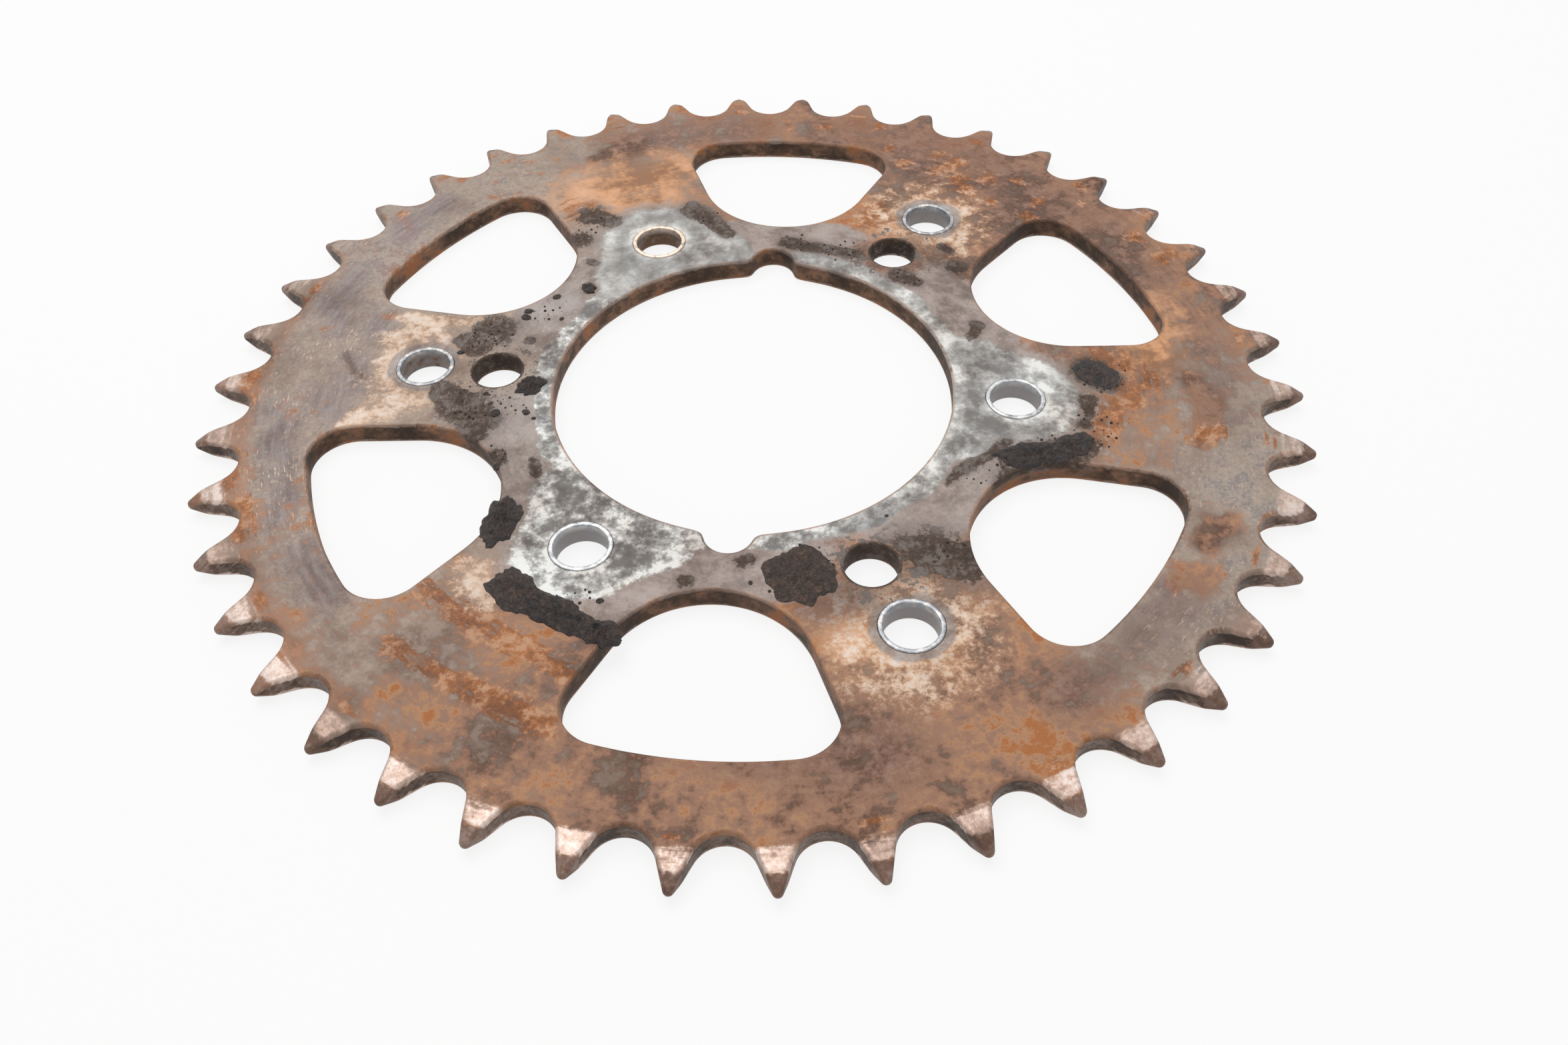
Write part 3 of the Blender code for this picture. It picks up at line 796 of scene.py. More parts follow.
def steel_tones(tree):
    """The noises of the plate: patches of several sizes, and scuffs drawn out round the rim."""
    place = place_in_mm(tree)
    flat = add_node(tree, "ShaderNodeVectorMath", {0: place, 1: (1, 1, 0)}, operation="MULTIPLY").outputs[0]
    radius = add_node(tree, "ShaderNodeVectorMath", {0: flat}, operation="LENGTH").outputs["Value"]
    height = add_node(tree, "ShaderNodeSeparateXYZ", {0: place}).outputs["Z"]
    radius = add_node(tree, "ShaderNodeMath", {0: radius, 1: height}, operation="ADD").outputs[0]
    ray = add_node(tree, "ShaderNodeVectorMath", {0: flat}, operation="NORMALIZE").outputs[0]
    ray = add_node(tree, "ShaderNodeSeparateXYZ", {0: ray}).outputs
    noises = {"broad": (place, 17.0, 4.0, 0.6), "mottle": (place, 5.0, 5.0, 0.62),
              "blotch": (place, 1.9, 5.0, 0.65), "grain": (place, 0.7, 4.0, 0.7)}
    # Chain scuffs are fine across the radius and drawn out along the arc at mid-rim
    mid_rim_mm = 85
    for name, across_mm, along_mm in (("streak", 1.1, 8.0), ("dash", 0.42, 1.7)):
        parts = {}
        for axis, source, share in (("X", radius, 1 / across_mm), ("Y", ray["X"], mid_rim_mm / along_mm),
                                    ("Z", ray["Y"], mid_rim_mm / along_mm)):
            parts[axis] = add_node(tree, "ShaderNodeMath", {0: source, 1: share},
                                   operation="MULTIPLY").outputs[0]
        round_rim = add_node(tree, "ShaderNodeCombineXYZ", parts).outputs[0]
        noises[name] = (round_rim, 1.0, 3.0, 0.6)
    return tones_of(tree, noises, {
        "steel": {"broad": 0.2, "mottle": 0.36, "streak": 0.12, "grain": 0.32},
        "rusty": {"broad": 0.4, "mottle": 0.28, "blotch": 0.18, "streak": 0.05, "grain": 0.09},
        "print": {"mottle": 0.52, "blotch": 0.34, "grain": 0.14},
        "coarse": {"broad": 0.35, "mottle": 0.4, "blotch": 0.25},
        "scuffed": {"streak": 0.5, "blotch": 0.28, "grain": 0.22},
        "crumbly": {"mottle": 0.35, "blotch": 0.4, "grain": 0.25},
        "film": {"broad": 0.52, "mottle": 0.24, "streak": 0.1, "blotch": 0.14},
    })


def plate_layers(colours):
    """Each finish from the steel up: mask, ragged-edge tone and its weight, softness of the edge,
    most that it covers, tone stops, tone, roughness, metallic."""
    rust_stops = ((0.2, colours.rust_dark), (0.42, colours.rust), (0.52, colours.rust),
                  (0.7, colours.rust_light), (0.88, colours.orange))
    orange_stops = ((0.15, between(colours.orange, colours.rust_dark, 0.6)), (0.5, colours.orange),
                    (0.85, between(colours.orange, colours.pale, 0.4)))
    pale_stops = ((0.1, between(colours.orange, colours.rust, 0.5)),
                  (0.34, between(colours.rust_light, colours.pale, 0.3)),
                  (0.6, colours.pale), (0.85, between(colours.pale, WHITE, 0.4)))
    print_stops = ((0.04, between(colours.print_dark, BLACK, 0.1)), (0.22, colours.print_dark),
                   (0.48, between(colours.print_dark, colours.print_light, 0.24)),
                   (0.68, between(colours.print_dark, colours.print_light, 0.52)), (0.9, colours.print_light))
    # The cut walls and the roller seats between the teeth are their own dark brown, deepened as painted shade
    wall_stops = ((0.2, between(colours.wall, BLACK, 0.5)), (0.5, colours.wall),
                  (0.7, between(colours.wall, colours.rust, 0.35)),
                  (0.92, between(colours.wall, colours.orange, 0.6)))
    root_rust = between(colours.orange, colours.rust, 0.45)
    roller_seat = between(colours.steel_dark, colours.wall, 0.85)
    return (
        ("grey_skin", "crumbly", 0.7, 0.4, 0.8, shaded(colours.mill_skin, 0.2, 0.1), "scuffed", 0.5, 0.25),
        ("rust", "coarse", 0.8, 0.32, 0.95, rust_stops, "rusty", 0.74, 0.06),
        ("dark_purple_patch", "coarse", 0.9, 0.45, 0.6, shaded(colours.dark_purple_patch, 0.3, 0.1), "crumbly", 0.72, 0.05),
        ("tan", "coarse", 0.3, 0.4, 0.9, shaded(colours.tan, 0.3, 0.12), "rusty", 0.76, 0.0),
        ("root_rust", "coarse", 0.4, 0.5, 0.7, shaded(root_rust, 0.25, 0.12), "rusty", 0.78, 0.0),
        ("orange", "scuffed", 1.1, 0.26, 0.8, orange_stops, "crumbly", 0.82, 0.0),
        ("pale", "crumbly", 0.75, 0.42, 0.92, pale_stops, "crumbly", 0.74, 0.0),
        ("band", "coarse", 0.5, 0.2, 0.9, shaded(colours.lilac, 0.2, 0.1), "steel", 0.52, 0.15),
        ("seat_print", "blotch", 0.3, 0.1, 0.97, print_stops, "print", 0.56, 0.12),
        ("stain_and_groove_shade", "coarse", 0.5, 0.3, 0.75, shaded(colours.stain_and_groove_shade, 0.3, 0.1), "crumbly", 0.66, 0.0),
        ("worn_edge", "crumbly", 0.8, 0.3, 0.4, rust_stops, "rusty", 0.5, 0.3),
        ("cut_wall", "crumbly", 0.4, 0.2, 1.0, wall_stops, "rusty", 0.6, 0.1),
        # Dry dirt, and painted shade in the plain holes
        ("grime_and_shade", "crumbly", 0.9, 0.14, 0.95, shaded(colours.grime_and_shade, 0.45, 0.1), "crumbly", 0.66, 0.0),
        ("roller_seat", "crumbly", 0.9, 0.3, 0.8, shaded(roller_seat, 0.6, 0.1), "steel", 0.4, 0.45),
        ("tip", "crumbly", 0.4, 0.2, 0.97, shaded(colours.tip, 0.25, 0.1), "steel", 0.46, 0.35),
        # Rubbed steel with a painted highlight on the first slope of the teeth
        ("polish_and_highlight", "scuffed", 0.5, 0.3, 0.97, shaded(colours.polish_and_highlight, 0.25, 0.3), "steel", 0.36, 0.5),
    )


def rusted_plate_material(colours):
    """Laser-cut carbon steel, weathered: dull mill skin, brown rust, and bright rubbed patches that carry a
    painted highlight.
    """
    material, tree = new_material("rusted_cut_steel")
    tones = steel_tones(tree)
    steel_stops = ((0.18, colours.steel_light), (0.42, colours.steel), (0.58, colours.steel),
                   (0.82, colours.steel_dark))
    shade = add_node(tree, "ShaderNodeValToRGB", {0: tones["steel"]}, stops=steel_stops).outputs[0]
    rough = add_node(tree, "ShaderNodeMapRange", {0: tones["mottle"], 3: 0.44, 4: 0.62}).outputs[0]
    metal = add_node(tree, "ShaderNodeMapRange", {0: tones["broad"], 3: 0.2, 4: 0.4}).outputs[0]
    layers = plate_layers(colours)
    names = (*(layer[0] for layer in layers), "print_calm", "print_bloom", "chipped")
    masks = {name: add_node(tree, "ShaderNodeAttribute", attribute_name=name).outputs["Fac"]
             for name in names}
    # Even patches of the print keep one tone, blooms lighten it, and a halo is palest in its middle
    calm = add_node(tree, "ShaderNodeMix", {0: masks["print_calm"], 2: tones["print"], 3: 0.6}).outputs[0]
    own_tone = {"seat_print": add_node(tree, "ShaderNodeMath", {0: calm, 1: masks["print_bloom"]},
                                       operation="ADD").outputs[0]}
    halo = add_node(tree, "ShaderNodeMath", {0: masks["pale"], 1: 0.75, 2: tones["crumbly"]},
                    operation="MULTIPLY_ADD").outputs[0]
    own_tone["pale"] = add_node(tree, "ShaderNodeMapRange", {0: halo, 1: 0.12, 2: 1.6}).outputs[0]
    for name, ragged, weight, soft, most, stops, tone, roughness, metallic in layers:
        edge = add_node(tree, "ShaderNodeMath", {0: tones[ragged], 1: weight, 2: masks[name]},
                        operation="MULTIPLY_ADD").outputs[0]
        middle = 0.5 + weight / 2
        most = add_node(tree, "ShaderNodeMapRange", {0: masks[name], 2: 0.22, 4: most}).outputs[0]
        cover = add_node(tree, "ShaderNodeMapRange", {
            0: edge, 1: middle - soft, 2: middle + soft, 4: most}, interpolation_type="SMOOTHSTEP").outputs[0]
        tint = add_node(tree, "ShaderNodeValToRGB", {0: own_tone.get(name, tones[tone])},
                        stops=stops).outputs[0]
        shade = add_node(tree, "ShaderNodeMix", {0: cover, 6: shade, 7: tint}, data_type="RGBA").outputs[2]
        rough = add_node(tree, "ShaderNodeMix", {0: cover, 2: rough, 3: roughness}).outputs[0]
        metal = add_node(tree, "ShaderNodeMix", {0: cover, 2: metal, 3: metallic}).outputs[0]
    # A thin film of old oil darkens the metal in drifts
    film = add_node(tree, "ShaderNodeValToRGB", {0: tones["film"]}, stops=(
        (0.0, linear("#D0C6C0")), (0.45, linear("#F4F0EC")), (1.0, WHITE))).outputs[0]
    shade = add_node(tree, "ShaderNodeMix", {0: 1.0, 6: shade, 7: film}, data_type="RGBA",
                     blend_type="MULTIPLY").outputs[2]
    # Short pale scratches where something hard has skipped along the rim, most where it is chipped
    scratch = add_node(tree, "ShaderNodeMapRange", {0: tones["dash"], 1: 0.7, 2: 0.92, 4: 0.62}).outputs[0]
    patchy = add_node(tree, "ShaderNodeMapRange", {0: tones["mottle"], 1: 0.35, 2: 0.65, 4: 0.55}).outputs[0]
    patchy = add_node(tree, "ShaderNodeMath", {0: patchy, 1: masks["chipped"]}, operation="ADD").outputs[0]
    bare = add_node(tree, "ShaderNodeMapRange", {
        0: masks["rust"], 1: 0.2, 2: 0.6, 3: 1.0, 4: 0.15}).outputs[0]
    for share in (patchy, bare):
        scratch = add_node(tree, "ShaderNodeMath", {0: scratch, 1: share}, operation="MULTIPLY").outputs[0]
    shade = add_node(tree, "ShaderNodeMix", {0: scratch, 6: shade, 7: (*colours.pale, 1)},
                     data_type="RGBA").outputs[2]
    pits = add_node(tree, "ShaderNodeMath", {0: tones["blotch"], 1: tones["grain"]},
                    operation="ADD").outputs[0]
    bump = add_node(tree, "ShaderNodeBump", {
        "Height": pits, "Strength": 0.5, "Distance": 0.06 * MM}).outputs[0]
    # Dry rust has little shine of its own
    finish_material(tree, {"Base Color": shade, "Roughness": rough, "Metallic": metal, "Normal": bump,
                           "Specular IOR Level": 0.28})
    return material


def zinc_material(colours):
    """Zinc-plated steel, drawn tube: a soft grey shine gone cloudy, with stain and painted shade creeping
    into the bore.
    """
    material, tree = new_material("zinc_plated_sleeve")
    place = place_in_mm(tree)
    tones = tones_of(tree, {"cloud": (place, 1.6, 5.0, 0.65), "grain": (place, 0.4, 3.0, 0.6)}, {})
    shade = add_node(tree, "ShaderNodeValToRGB", {0: tones["cloud"]}, stops=(
        (0.1, between(colours.zinc, BLACK, 0.28)), (0.45, colours.zinc),
        (0.8, between(colours.zinc, WHITE, 0.35)))).outputs[0]
    # Only the rim of each sleeve stays clean: its bore is stained and painted darker as shade from just below
    # the rounded edge down
    top_mm = PLATE_HIGH.z / MM
    depth = add_node(tree, "ShaderNodeSeparateXYZ", {0: place}).outputs["Z"]
    depth = add_node(tree, "ShaderNodeMapRange", {0: depth, 1: top_mm + 0.1, 2: top_mm - 1.6}).outputs[0]
    rim = add_node(tree, "ShaderNodeMath", {0: 1.0, 1: depth}, operation="SUBTRACT").outputs[0]
    chalk = between(colours.zinc, colours.print_light, 0.6)
    for name, tint, where, low, high in (
            ("warmth", colours.pale, rim, 0.7, 1.2), ("chalk", chalk, rim, 0.5, 1.3),
            ("soot_and_shade", colours.wall, depth, 0.55, 2.0)):
        mask = add_node(tree, "ShaderNodeAttribute", attribute_name=name).outputs["Fac"]
        edge = add_node(tree, "ShaderNodeMath", {0: tones["cloud"], 1: mask}, operation="ADD").outputs[0]
        cover = add_node(tree, "ShaderNodeMapRange", {0: edge, 1: low, 2: high, 4: where}).outputs[0]
        shade = add_node(tree, "ShaderNodeMix", {0: cover, 6: shade, 7: (*tint, 1)},
                         data_type="RGBA").outputs[2]
    rough = add_node(tree, "ShaderNodeMapRange", {0: tones["cloud"], 3: 0.3, 4: 0.5}).outputs[0]
    bump = add_node(tree, "ShaderNodeBump", {
        "Height": tones["grain"], "Strength": 0.4, "Distance": 0.05 * MM}).outputs[0]
    finish_material(tree, {"Base Color": shade, "Roughness": rough, "Metallic": 0.8, "Normal": bump})
    return material


def grease_material(colours):
    """Chain grease caked with road dust: nearly black, crumbly, brown where it has dried, with pale specks
    that are dust and painted glints.
    """
    material, tree = new_material("caked_chain_grease")
    place = place_in_mm(tree)
    tones = tones_of(tree, {"clod": (place, 1.4, 5.0, 0.7), "dust": (place, 0.45, 4.0, 0.7)}, {})
    tone = add_node(tree, "ShaderNodeMath", {0: tones["clod"], 1: tones["dust"]}, operation="ADD").outputs[0]
    tone = add_node(tree, "ShaderNodeMath", {0: tone, 1: 0.5}, operation="MULTIPLY").outputs[0]
    # The palest stop is dust specks and painted glints on the wet grease
    shade = add_node(tree, "ShaderNodeValToRGB", {0: tone}, stops=(
        (0.2, between(colours.grease, BLACK, 0.6)), (0.45, colours.grease),
        (0.66, between(colours.grease, colours.rust, 0.14)),
        (0.88, between(colours.grease, colours.pale, 0.16)))).outputs[0]
    # The flat cakes have dried to a brown crust
    crust = add_node(tree, "ShaderNodeValToRGB", {0: tone}, stops=(
        (0.25, between(colours.grime_and_shade, BLACK, 0.7)), (0.5, between(colours.grime_and_shade, colours.grease, 0.4)),
        (0.8, between(colours.grime_and_shade, colours.rust, 0.4)))).outputs[0]
    dry = add_node(tree, "ShaderNodeAttribute", attribute_name="dry").outputs["Fac"]
    shade = add_node(tree, "ShaderNodeMix", {0: dry, 6: shade, 7: crust}, data_type="RGBA").outputs[2]
    rough = add_node(tree, "ShaderNodeMapRange", {0: tones["clod"], 3: 0.26, 4: 0.56}).outputs[0]
    rough = add_node(tree, "ShaderNodeMix", {0: dry, 2: rough, 3: 0.7}).outputs[0]
    bump = add_node(tree, "ShaderNodeBump", {
        "Height": tone, "Strength": 0.9, "Distance": 0.5 * MM}).outputs[0]
    finish_material(tree, {"Base Color": shade, "Roughness": rough, "Normal": bump})
    return material


def new_mesh(name, verts, faces, values):
    """A mesh with named values for every point."""
    mesh = bpy.data.meshes.new(name)
    mesh.from_pydata(verts, [], faces)
    for key, numbers in values.items():
        layer = mesh.attributes.new(key, "FLOAT", "POINT")
        layer.data.foreach_set("value", np.asarray(numbers, np.float32))
    return mesh


def finished_object(name, mesh, material):
    """A new object at the origin, smooth-shaded, with one material."""
    mesh.materials.clear()
    mesh.materials.append(material)
    mesh.polygons.foreach_set("use_smooth", [True] * len(mesh.polygons))
    made = bpy.data.objects.new(name, mesh)
    bpy.context.scene.collection.objects.link(made)
    return made


def new_tree(name, values):
    """A geometry node tree with named inputs, and the identifiers to set them by."""
    tree = bpy.data.node_groups.new(name, "GeometryNodeTree")
    tree.interface.new_socket("Geometry", in_out="INPUT", socket_type="NodeSocketGeometry")
    keys = {}
    for label, (kind, value) in values.items():
        socket = tree.interface.new_socket(label, in_out="INPUT", socket_type=kind)
        keys[socket.identifier] = value
    tree.interface.new_socket("Geometry", in_out="OUTPUT", socket_type="NodeSocketGeometry")
    return tree, keys, add_node(tree, "NodeGroupInput")


def grown_mesh(tree, keys, given, last, source):
    """End a tree in real, coloured geometry, and return what it makes of a mesh as a plain mesh."""
    real = add_node(tree, "GeometryNodeRealizeInstances", {0: last}).outputs[0]
    painted = add_node(tree, "GeometryNodeSetMaterial", {0: real, "Material": given.outputs["Material"]})
    add_node(tree, "NodeGroupOutput", {0: painted.outputs[0]})
    holder = bpy.data.objects.new(source.name, source)
    bpy.context.scene.collection.objects.link(holder)
    modifier = holder.modifiers.new(tree.name, "NODES")
    modifier.node_group = tree
    for key, value in keys.items():
        modifier[key] = value
    depsgraph = bpy.context.evaluated_depsgraph_get()
    mesh = bpy.data.meshes.new_from_object(holder.evaluated_get(depsgraph), depsgraph=depsgraph)
    mesh.name = tree.name
    holder.modifiers.clear()
    bpy.data.objects.remove(holder)
    bpy.data.meshes.remove(source)
    if not mesh.polygons:
        raise RuntimeError(f"{tree.name}: the node tree made no faces")
    return mesh


class SPROCKET_OT_plate(bpy.types.Operator):
    """Make the toothed steel plate with its worn finish"""
    bl_idname = "sprocket.plate"
    bl_label = "Toothed plate"

    def execute(self, context):
        shape = PlateShape(context.scene.sprocket_sizes)
        verts, faces, kinds = plate_mesh(shape)
        masks = wear_masks(shape, verts, kinds)
        flat_mm = verts[:, :2] / MM
        inner = np.array([k[1] != "wall" for k in kinds])
        front = verts[:, 2] > shape.middle
        # The faces are not quite flat: a gentle waviness, rust swelling and the groove
        swell = FACE_WAVE * wavy(flat_mm, 14, 2.2) + RUST_SWELL * wavy(flat_mm, 2.4, 6.1) * masks["rust"]
        calm = np.where(masks["tip"] > 0, 0.3, 1.0)
        lift = swell * calm - np.where(front, gouge_depth(flat_mm), 0)
        lift = np.where(inner, np.where(front, np.minimum(lift, MOST_LIFT), -lift), 0)
        verts[:, 2] += lift * MM
        mesh = new_mesh("worn_sprocket_plate", verts.tolist(), faces, masks)
        if mesh.validate():
            raise RuntimeError("the plate's mesh is not sound")
        plate = finished_object("worn_sprocket_plate", mesh,
                                rusted_plate_material(context.scene.sprocket_colours))
        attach(plate, "root")
        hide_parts("sprocket_plate")
        return {"FINISHED"}


class SPROCKET_OT_collars(bpy.types.Operator):
    """Make the six pressed-in bolt collars"""
    bl_idname = "sprocket.collars"
    bl_label = "Bolt collars"

    def execute(self, context):
        sizes = context.scene.sprocket_sizes
        low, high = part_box(COLLAR_NODES[0])
        material = zinc_material(context.scene.sprocket_colours)
        tree, keys, given = new_tree("bolt_collars", {
            "Wall": ("NodeSocketFloat", sizes.collar_wall),
            "Length": ("NodeSocketFloat", high.z - low.z),
            "Middle Radius": ("NodeSocketFloat", (high.x - low.x - sizes.collar_wall) / 2),
            "Edge Rounding": ("NodeSocketFloat", sizes.collar_edge),
            "Material": ("NodeSocketMaterial", material),
        })
        section = add_node(tree, "GeometryNodeCurvePrimitiveQuadrilateral", {
            "Width": given.outputs["Wall"], "Height": given.outputs["Length"]}).outputs[0]
        section = add_node(tree, "GeometryNodeFilletCurve", {
            "Curve": section, "Radius": given.outputs["Edge Rounding"], "Count": 4}, mode="POLY").outputs[0]
        path = add_node(tree, "GeometryNodeCurvePrimitiveCircle", {
            "Resolution": 72, "Radius": given.outputs["Middle Radius"]}, mode="RADIUS").outputs[0]
        sleeve = add_node(tree, "GeometryNodeCurveToMesh", {0: path, 1: section}).outputs[0]
        spread = add_node(tree, "GeometryNodeInstanceOnPoints", {
            "Points": given.outputs["Geometry"], "Instance": sleeve}).outputs[0]
        corners = [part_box(node) for node in COLLAR_NODES]
        wear = {name: [marks.get(node, marks[node.split("_")[0]]) for node in COLLAR_NODES]
                for name, marks in COLLAR_WEAR.items()}
        centres = new_mesh("collar_centres", [(low + high) / 2 for low, high in corners], [], wear)
        mesh = grown_mesh(tree, keys, given, spread, centres)
        collars = finished_object("bolt_collars", mesh, material)
        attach(collars, "root")
        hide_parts(*COLLAR_NODES)
        return {"FINISHED"}


def lump_mesh(verts, faces, spot, face_z, rings, spokes):
    """Add one closed lump of grease: ragged outline, crumbly top, its foot sunk in the face."""
    x, y, long_mm, wide_mm, turn, height = spot[:6]
    turn = math.radians(turn)
    start = len(verts)
    verts.append((x * MM, y * MM, face_z + height * 0.9 * MM))
    for ring in range(1, rings + 1):
        part = ring / rings
        for spoke in range(spokes):
            angle = math.tau * spoke / spokes
            c, s = math.cos(angle), math.sin(angle)
            reach = 1 + (0.12 + 0.22 * height) * noise.noise(Vector((c * 1.7 + x, s * 1.7 + y, 1)))
            reach += (0.08 + 0.08 * height) * noise.noise(Vector((c * 5 + y, s * 5 - x, 4)))
            across = Vector((long_mm * c, wide_mm * s)) * part * reach
            px = x + across.x * math.cos(turn) - across.y * math.sin(turn)
            py = y + across.x * math.sin(turn) + across.y * math.cos(turn)
            rough = noise.fractal(Vector((px / 1.5, py / 1.5, height)), 0.7, 2.0, 5)
            crown = (1 - part ** 3) ** 0.8 * (0.8 + 0.7 * rough) * height
            z = -0.2 if ring == rings else max(crown, 0.02)
            verts.append((px * MM, py * MM, face_z + z * MM))
    for spoke in range(spokes):
        after = (spoke + 1) % spokes
        faces.append((start, start + 1 + spoke, start + 1 + after))
        for ring in range(rings - 1):
            a, b = start + 1 + ring * spokes, start + 1 + (ring + 1) * spokes
            faces.append((a + spoke, b + spoke, b + after, a + after))
    last = start + 1 + (rings - 1) * spokes
    faces.append(tuple(last + spoke for spoke in reversed(range(spokes))))


def grit_mesh(context, face_z, material):
    """Crumbs of dried grease strewn at random over the beds of grit."""
    tree, keys, given = new_tree("grit_crumbs", {
        "Crumbs per m2": ("NodeSocketFloat", 420000.0),
        "Least Gap": ("NodeSocketFloat", 0.0009),
        "Crumb Radius": ("NodeSocketFloat", 0.0003),
        "Smallest": ("NodeSocketFloat", 0.35),
        "Largest": ("NodeSocketFloat", 1.2),
        "Seed": ("NodeSocketInt", 7),
        "Material": ("NodeSocketMaterial", material),
    })
    points = add_node(tree, "GeometryNodeDistributePointsOnFaces", {
        "Mesh": given.outputs["Geometry"], "Distance Min": given.outputs["Least Gap"],
        "Density Max": given.outputs["Crumbs per m2"], "Seed": given.outputs["Seed"]},
        distribute_method="POISSON").outputs[0]
    crumb = add_node(tree, "GeometryNodeMeshIcoSphere", {
        "Radius": given.outputs["Crumb Radius"], "Subdivisions": 1}).outputs[0]
    size = add_node(tree, "FunctionNodeRandomValue", {
        2: given.outputs["Smallest"], 3: given.outputs["Largest"], "Seed": given.outputs["Seed"]}).outputs[1]
    turn = add_node(tree, "FunctionNodeRandomValue", {
        1: (math.tau, math.tau, math.tau), "Seed": given.outputs["Seed"]},
        data_type="FLOAT_VECTOR").outputs[0]
    strewn = add_node(tree, "GeometryNodeInstanceOnPoints", {
        "Points": points, "Instance": crumb, "Rotation": turn, "Scale": size}).outputs[0]
    # Each bed is a patch of small squares, and only those that lie wholly on metal are kept
    loops = [loop for _, loop in PlateShape(context.scene.sprocket_sizes).loops()]
    cell_mm = 0.8
    square = np.array(((0, 0), (1, 0), (1, 1), (0, 1))) * cell_mm
    verts, faces = [], []
    for x, y, radius in GRIT_BEDS:
        side = np.arange(-radius, radius, cell_mm)
        spots = np.array([(x + u, y + v) for u in side for v in side if math.hypot(u, v) < radius])
        cells = (spots[:, None] + square) * MM
        sound = inside(cells.reshape(-1, 2), loops).reshape(-1, 4).all(1)
        for cell in cells[sound]:
            faces.append(tuple(range(len(verts), len(verts) + 4)))
            verts += [(px, py, face_z) for px, py in cell]
    return grown_mesh(tree, keys, given, strewn, new_mesh("grit_beds", verts, faces, {}))


class SPROCKET_OT_grease(bpy.types.Operator):
    """Make the cakes, specks and crumbs of chain grease on the front face"""
    bl_idname = "sprocket.grease"
    bl_label = "Caked grease"

    def execute(self, context):
        face_z = PLATE_HIGH.z
        verts, faces, dry = [], [], []
        for spot in GREASE_LUMPS:
            lump_mesh(verts, faces, spot, face_z, rings=16, spokes=96)
            dry += [spot[6]] * (len(verts) - len(dry))
        for x, y, radius in GREASE_SPECKS:
            spot = (x, y, radius * 1.15, radius * 0.9, x * 37 + y, radius * 0.45)
            lump_mesh(verts, faces, spot, face_z, rings=6, spokes=24)
        dry += [0.3] * (len(verts) - len(dry))
        material = grease_material(context.scene.sprocket_colours)
        mesh = new_mesh("grease_cakes", verts, faces, {"dry": dry})
        grease = finished_object("grease_cakes", mesh, material)
        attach(grease, "root")
        grit = finished_object("grit_crumbs", grit_mesh(context, face_z, material), material)
        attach(grit, "root")
        return {"FINISHED"}


def seen_directly(tree):
    """1 for rays from the camera, a reflection or a clear body, and 0 for rays that light the piece."""
    rays = add_node(tree, "ShaderNodeLightPath").outputs
    seen = rays["Is Camera Ray"]
    for kind in ("Is Glossy Ray", "Is Transmission Ray"):
        seen = add_node(tree, "ShaderNodeMath", {0: seen, 1: rays[kind]}, operation="MAXIMUM").outputs[0]
    return seen


def paper_floor(tint):
    """Matt white paper: it glows almost to white for the eye and keeps a faint shadow."""
    material, tree = new_material("matt_paper_floor")
    paper = add_node(tree, "ShaderNodeBsdfPrincipled", {
        "Base Color": (*tint, 1), "Roughness": 0.9}).outputs[0]
    share = add_node(tree, "ShaderNodeMath", {0: seen_directly(tree), 1: FLOOR_GLOW},
                     operation="MULTIPLY").outputs[0]
    glow = add_node(tree, "ShaderNodeEmission", {"Color": (*WHITE, 1), "Strength": 1.0}).outputs[0]
    mix = add_node(tree, "ShaderNodeMixShader", {0: share, 1: paper, 2: glow}).outputs[0]
    add_node(tree, "ShaderNodeOutputMaterial", {"Surface": mix})
    below = CAD_LOW.z - FLOOR_GAP
    corners = [(x * FLOOR_HALF, y * FLOOR_HALF, below) for x, y in ((-1, -1), (1, -1), (1, 1), (-1, 1))]
    return finished_object("studio_floor", new_mesh("studio_floor", corners, [(0, 1, 2, 3)], {}), material)


def even_sky(strength):
    """A world that lights the piece evenly and is seen as plain white."""
    world = bpy.data.worlds.new("even_studio")
    world.use_nodes = True
    tree = world.node_tree
    tree.nodes.clear()
    level = add_node(tree, "ShaderNodeMix", {0: seen_directly(tree), 2: strength, 3: 1.0}).outputs[0]
    glow = add_node(tree, "ShaderNodeBackground", {"Color": (*WHITE, 1), "Strength": level}).outputs[0]
    add_node(tree, "ShaderNodeOutputWorld", {"Surface": glow})
    return world


def overhead_softbox(power):
    """A square softbox above and behind the piece, turned to face it."""
    lamp = bpy.data.lights.new("softbox", "AREA")
    lamp.shape = "SQUARE"
    lamp.size = SOFTBOX_SIZE
    lamp.energy = power
    softbox = bpy.data.objects.new("softbox", lamp)
    softbox.location = SOFTBOX_PLACE
    softbox.rotation_euler = Vector(SOFTBOX_PLACE).to_track_quat("Z", "Y").to_euler()
    return softbox


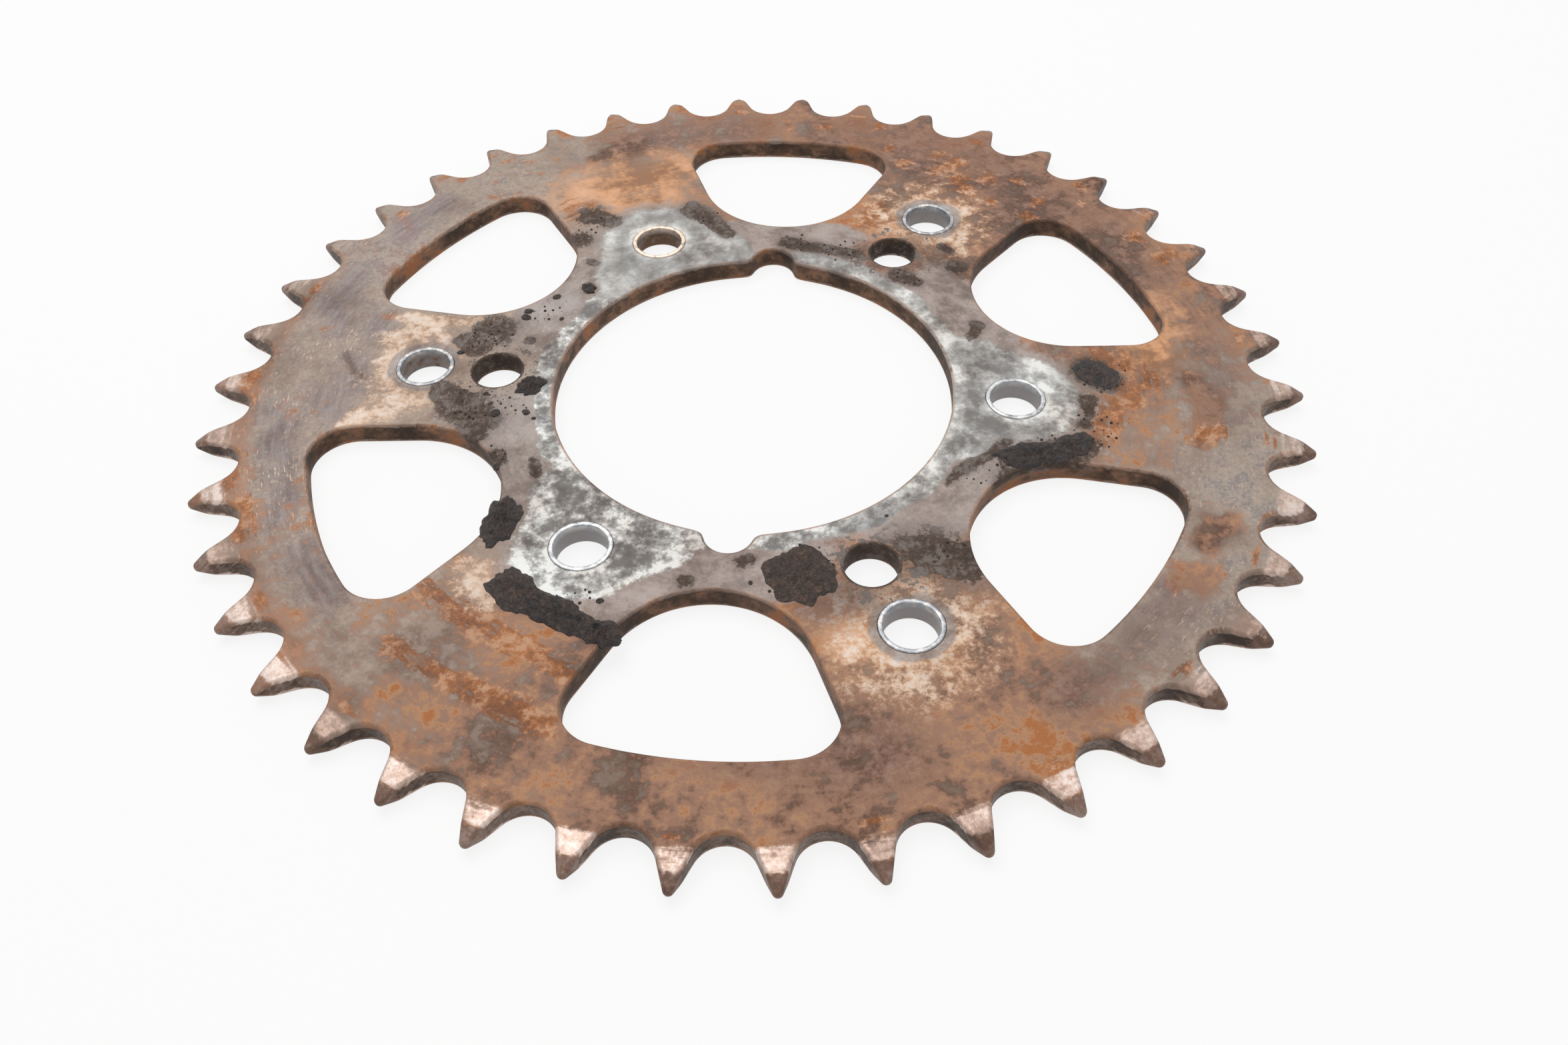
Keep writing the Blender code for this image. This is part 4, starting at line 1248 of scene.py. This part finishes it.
def photo_camera(stage):
    """The camera of the photo."""
    data = bpy.data.cameras.new("photo_view")
    data.sensor_fit = "HORIZONTAL"
    data.sensor_width = stage.sensor
    data.lens = stage.lens
    data.clip_start = NEAR_CLIP
    camera = bpy.data.objects.new("photo_view", data)
    right, up = Vector(stage.right), Vector(stage.up)
    turn = Matrix((right, up, right.cross(up))).transposed()
    camera.matrix_world = Matrix.Translation(stage.eye) @ turn.to_4x4()
    return camera


class SPROCKET_OT_stage(bpy.types.Operator):
    """Make the pale floor, the soft light and the camera"""
    bl_idname = "sprocket.stage"
    bl_label = "Studio stage"

    def execute(self, context):
        scene = context.scene
        stage = scene.sprocket_stage
        scene.view_settings.view_transform = "Standard"
        floor = paper_floor(scene.sprocket_colours.floor)
        scene.world = even_sky(stage.sky)
        scene.collection.objects.link(overhead_softbox(stage.softbox_power))
        scene.camera = photo_camera(stage)
        scene.collection.objects.link(scene.camera)
        return {"FINISHED"}


class SPROCKET_PT_panel(bpy.types.Panel):
    """Sizes, colours and steps of the sprocket"""
    bl_label = "Rear sprocket"
    bl_idname = "SPROCKET_PT_panel"
    bl_space_type = "VIEW_3D"
    bl_region_type = "UI"
    bl_category = "Sprocket"

    def draw(self, context):
        for operator in OPERATORS:
            self.layout.operator(operator.bl_idname)
        for group in ("sprocket_sizes", "sprocket_colours", "sprocket_stage"):
            box = self.layout.box()
            values = getattr(context.scene, group)
            for key in values.__annotations__:
                box.prop(values, key)


OPERATORS = (SPROCKET_OT_plate, SPROCKET_OT_collars, SPROCKET_OT_grease, SPROCKET_OT_stage)
GROUPS = {"sprocket_sizes": SprocketSizes, "sprocket_colours": SprocketColours,
          "sprocket_stage": SprocketStage}


def register():
    for name, group in GROUPS.items():
        bpy.utils.register_class(group)
        setattr(bpy.types.Scene, name, PointerProperty(type=group))
    for made in (*OPERATORS, SPROCKET_PT_panel):
        bpy.utils.register_class(made)


def unregister():
    for made in (SPROCKET_PT_panel, *reversed(OPERATORS)):
        bpy.utils.unregister_class(made)
    for name, group in GROUPS.items():
        delattr(bpy.types.Scene, name)
        bpy.utils.unregister_class(group)


def main():
    register()
    bpy.ops.sprocket.stage()
    bpy.ops.sprocket.plate()
    bpy.ops.sprocket.collars()
    bpy.ops.sprocket.grease()


if __name__ == "__main__":
    main()
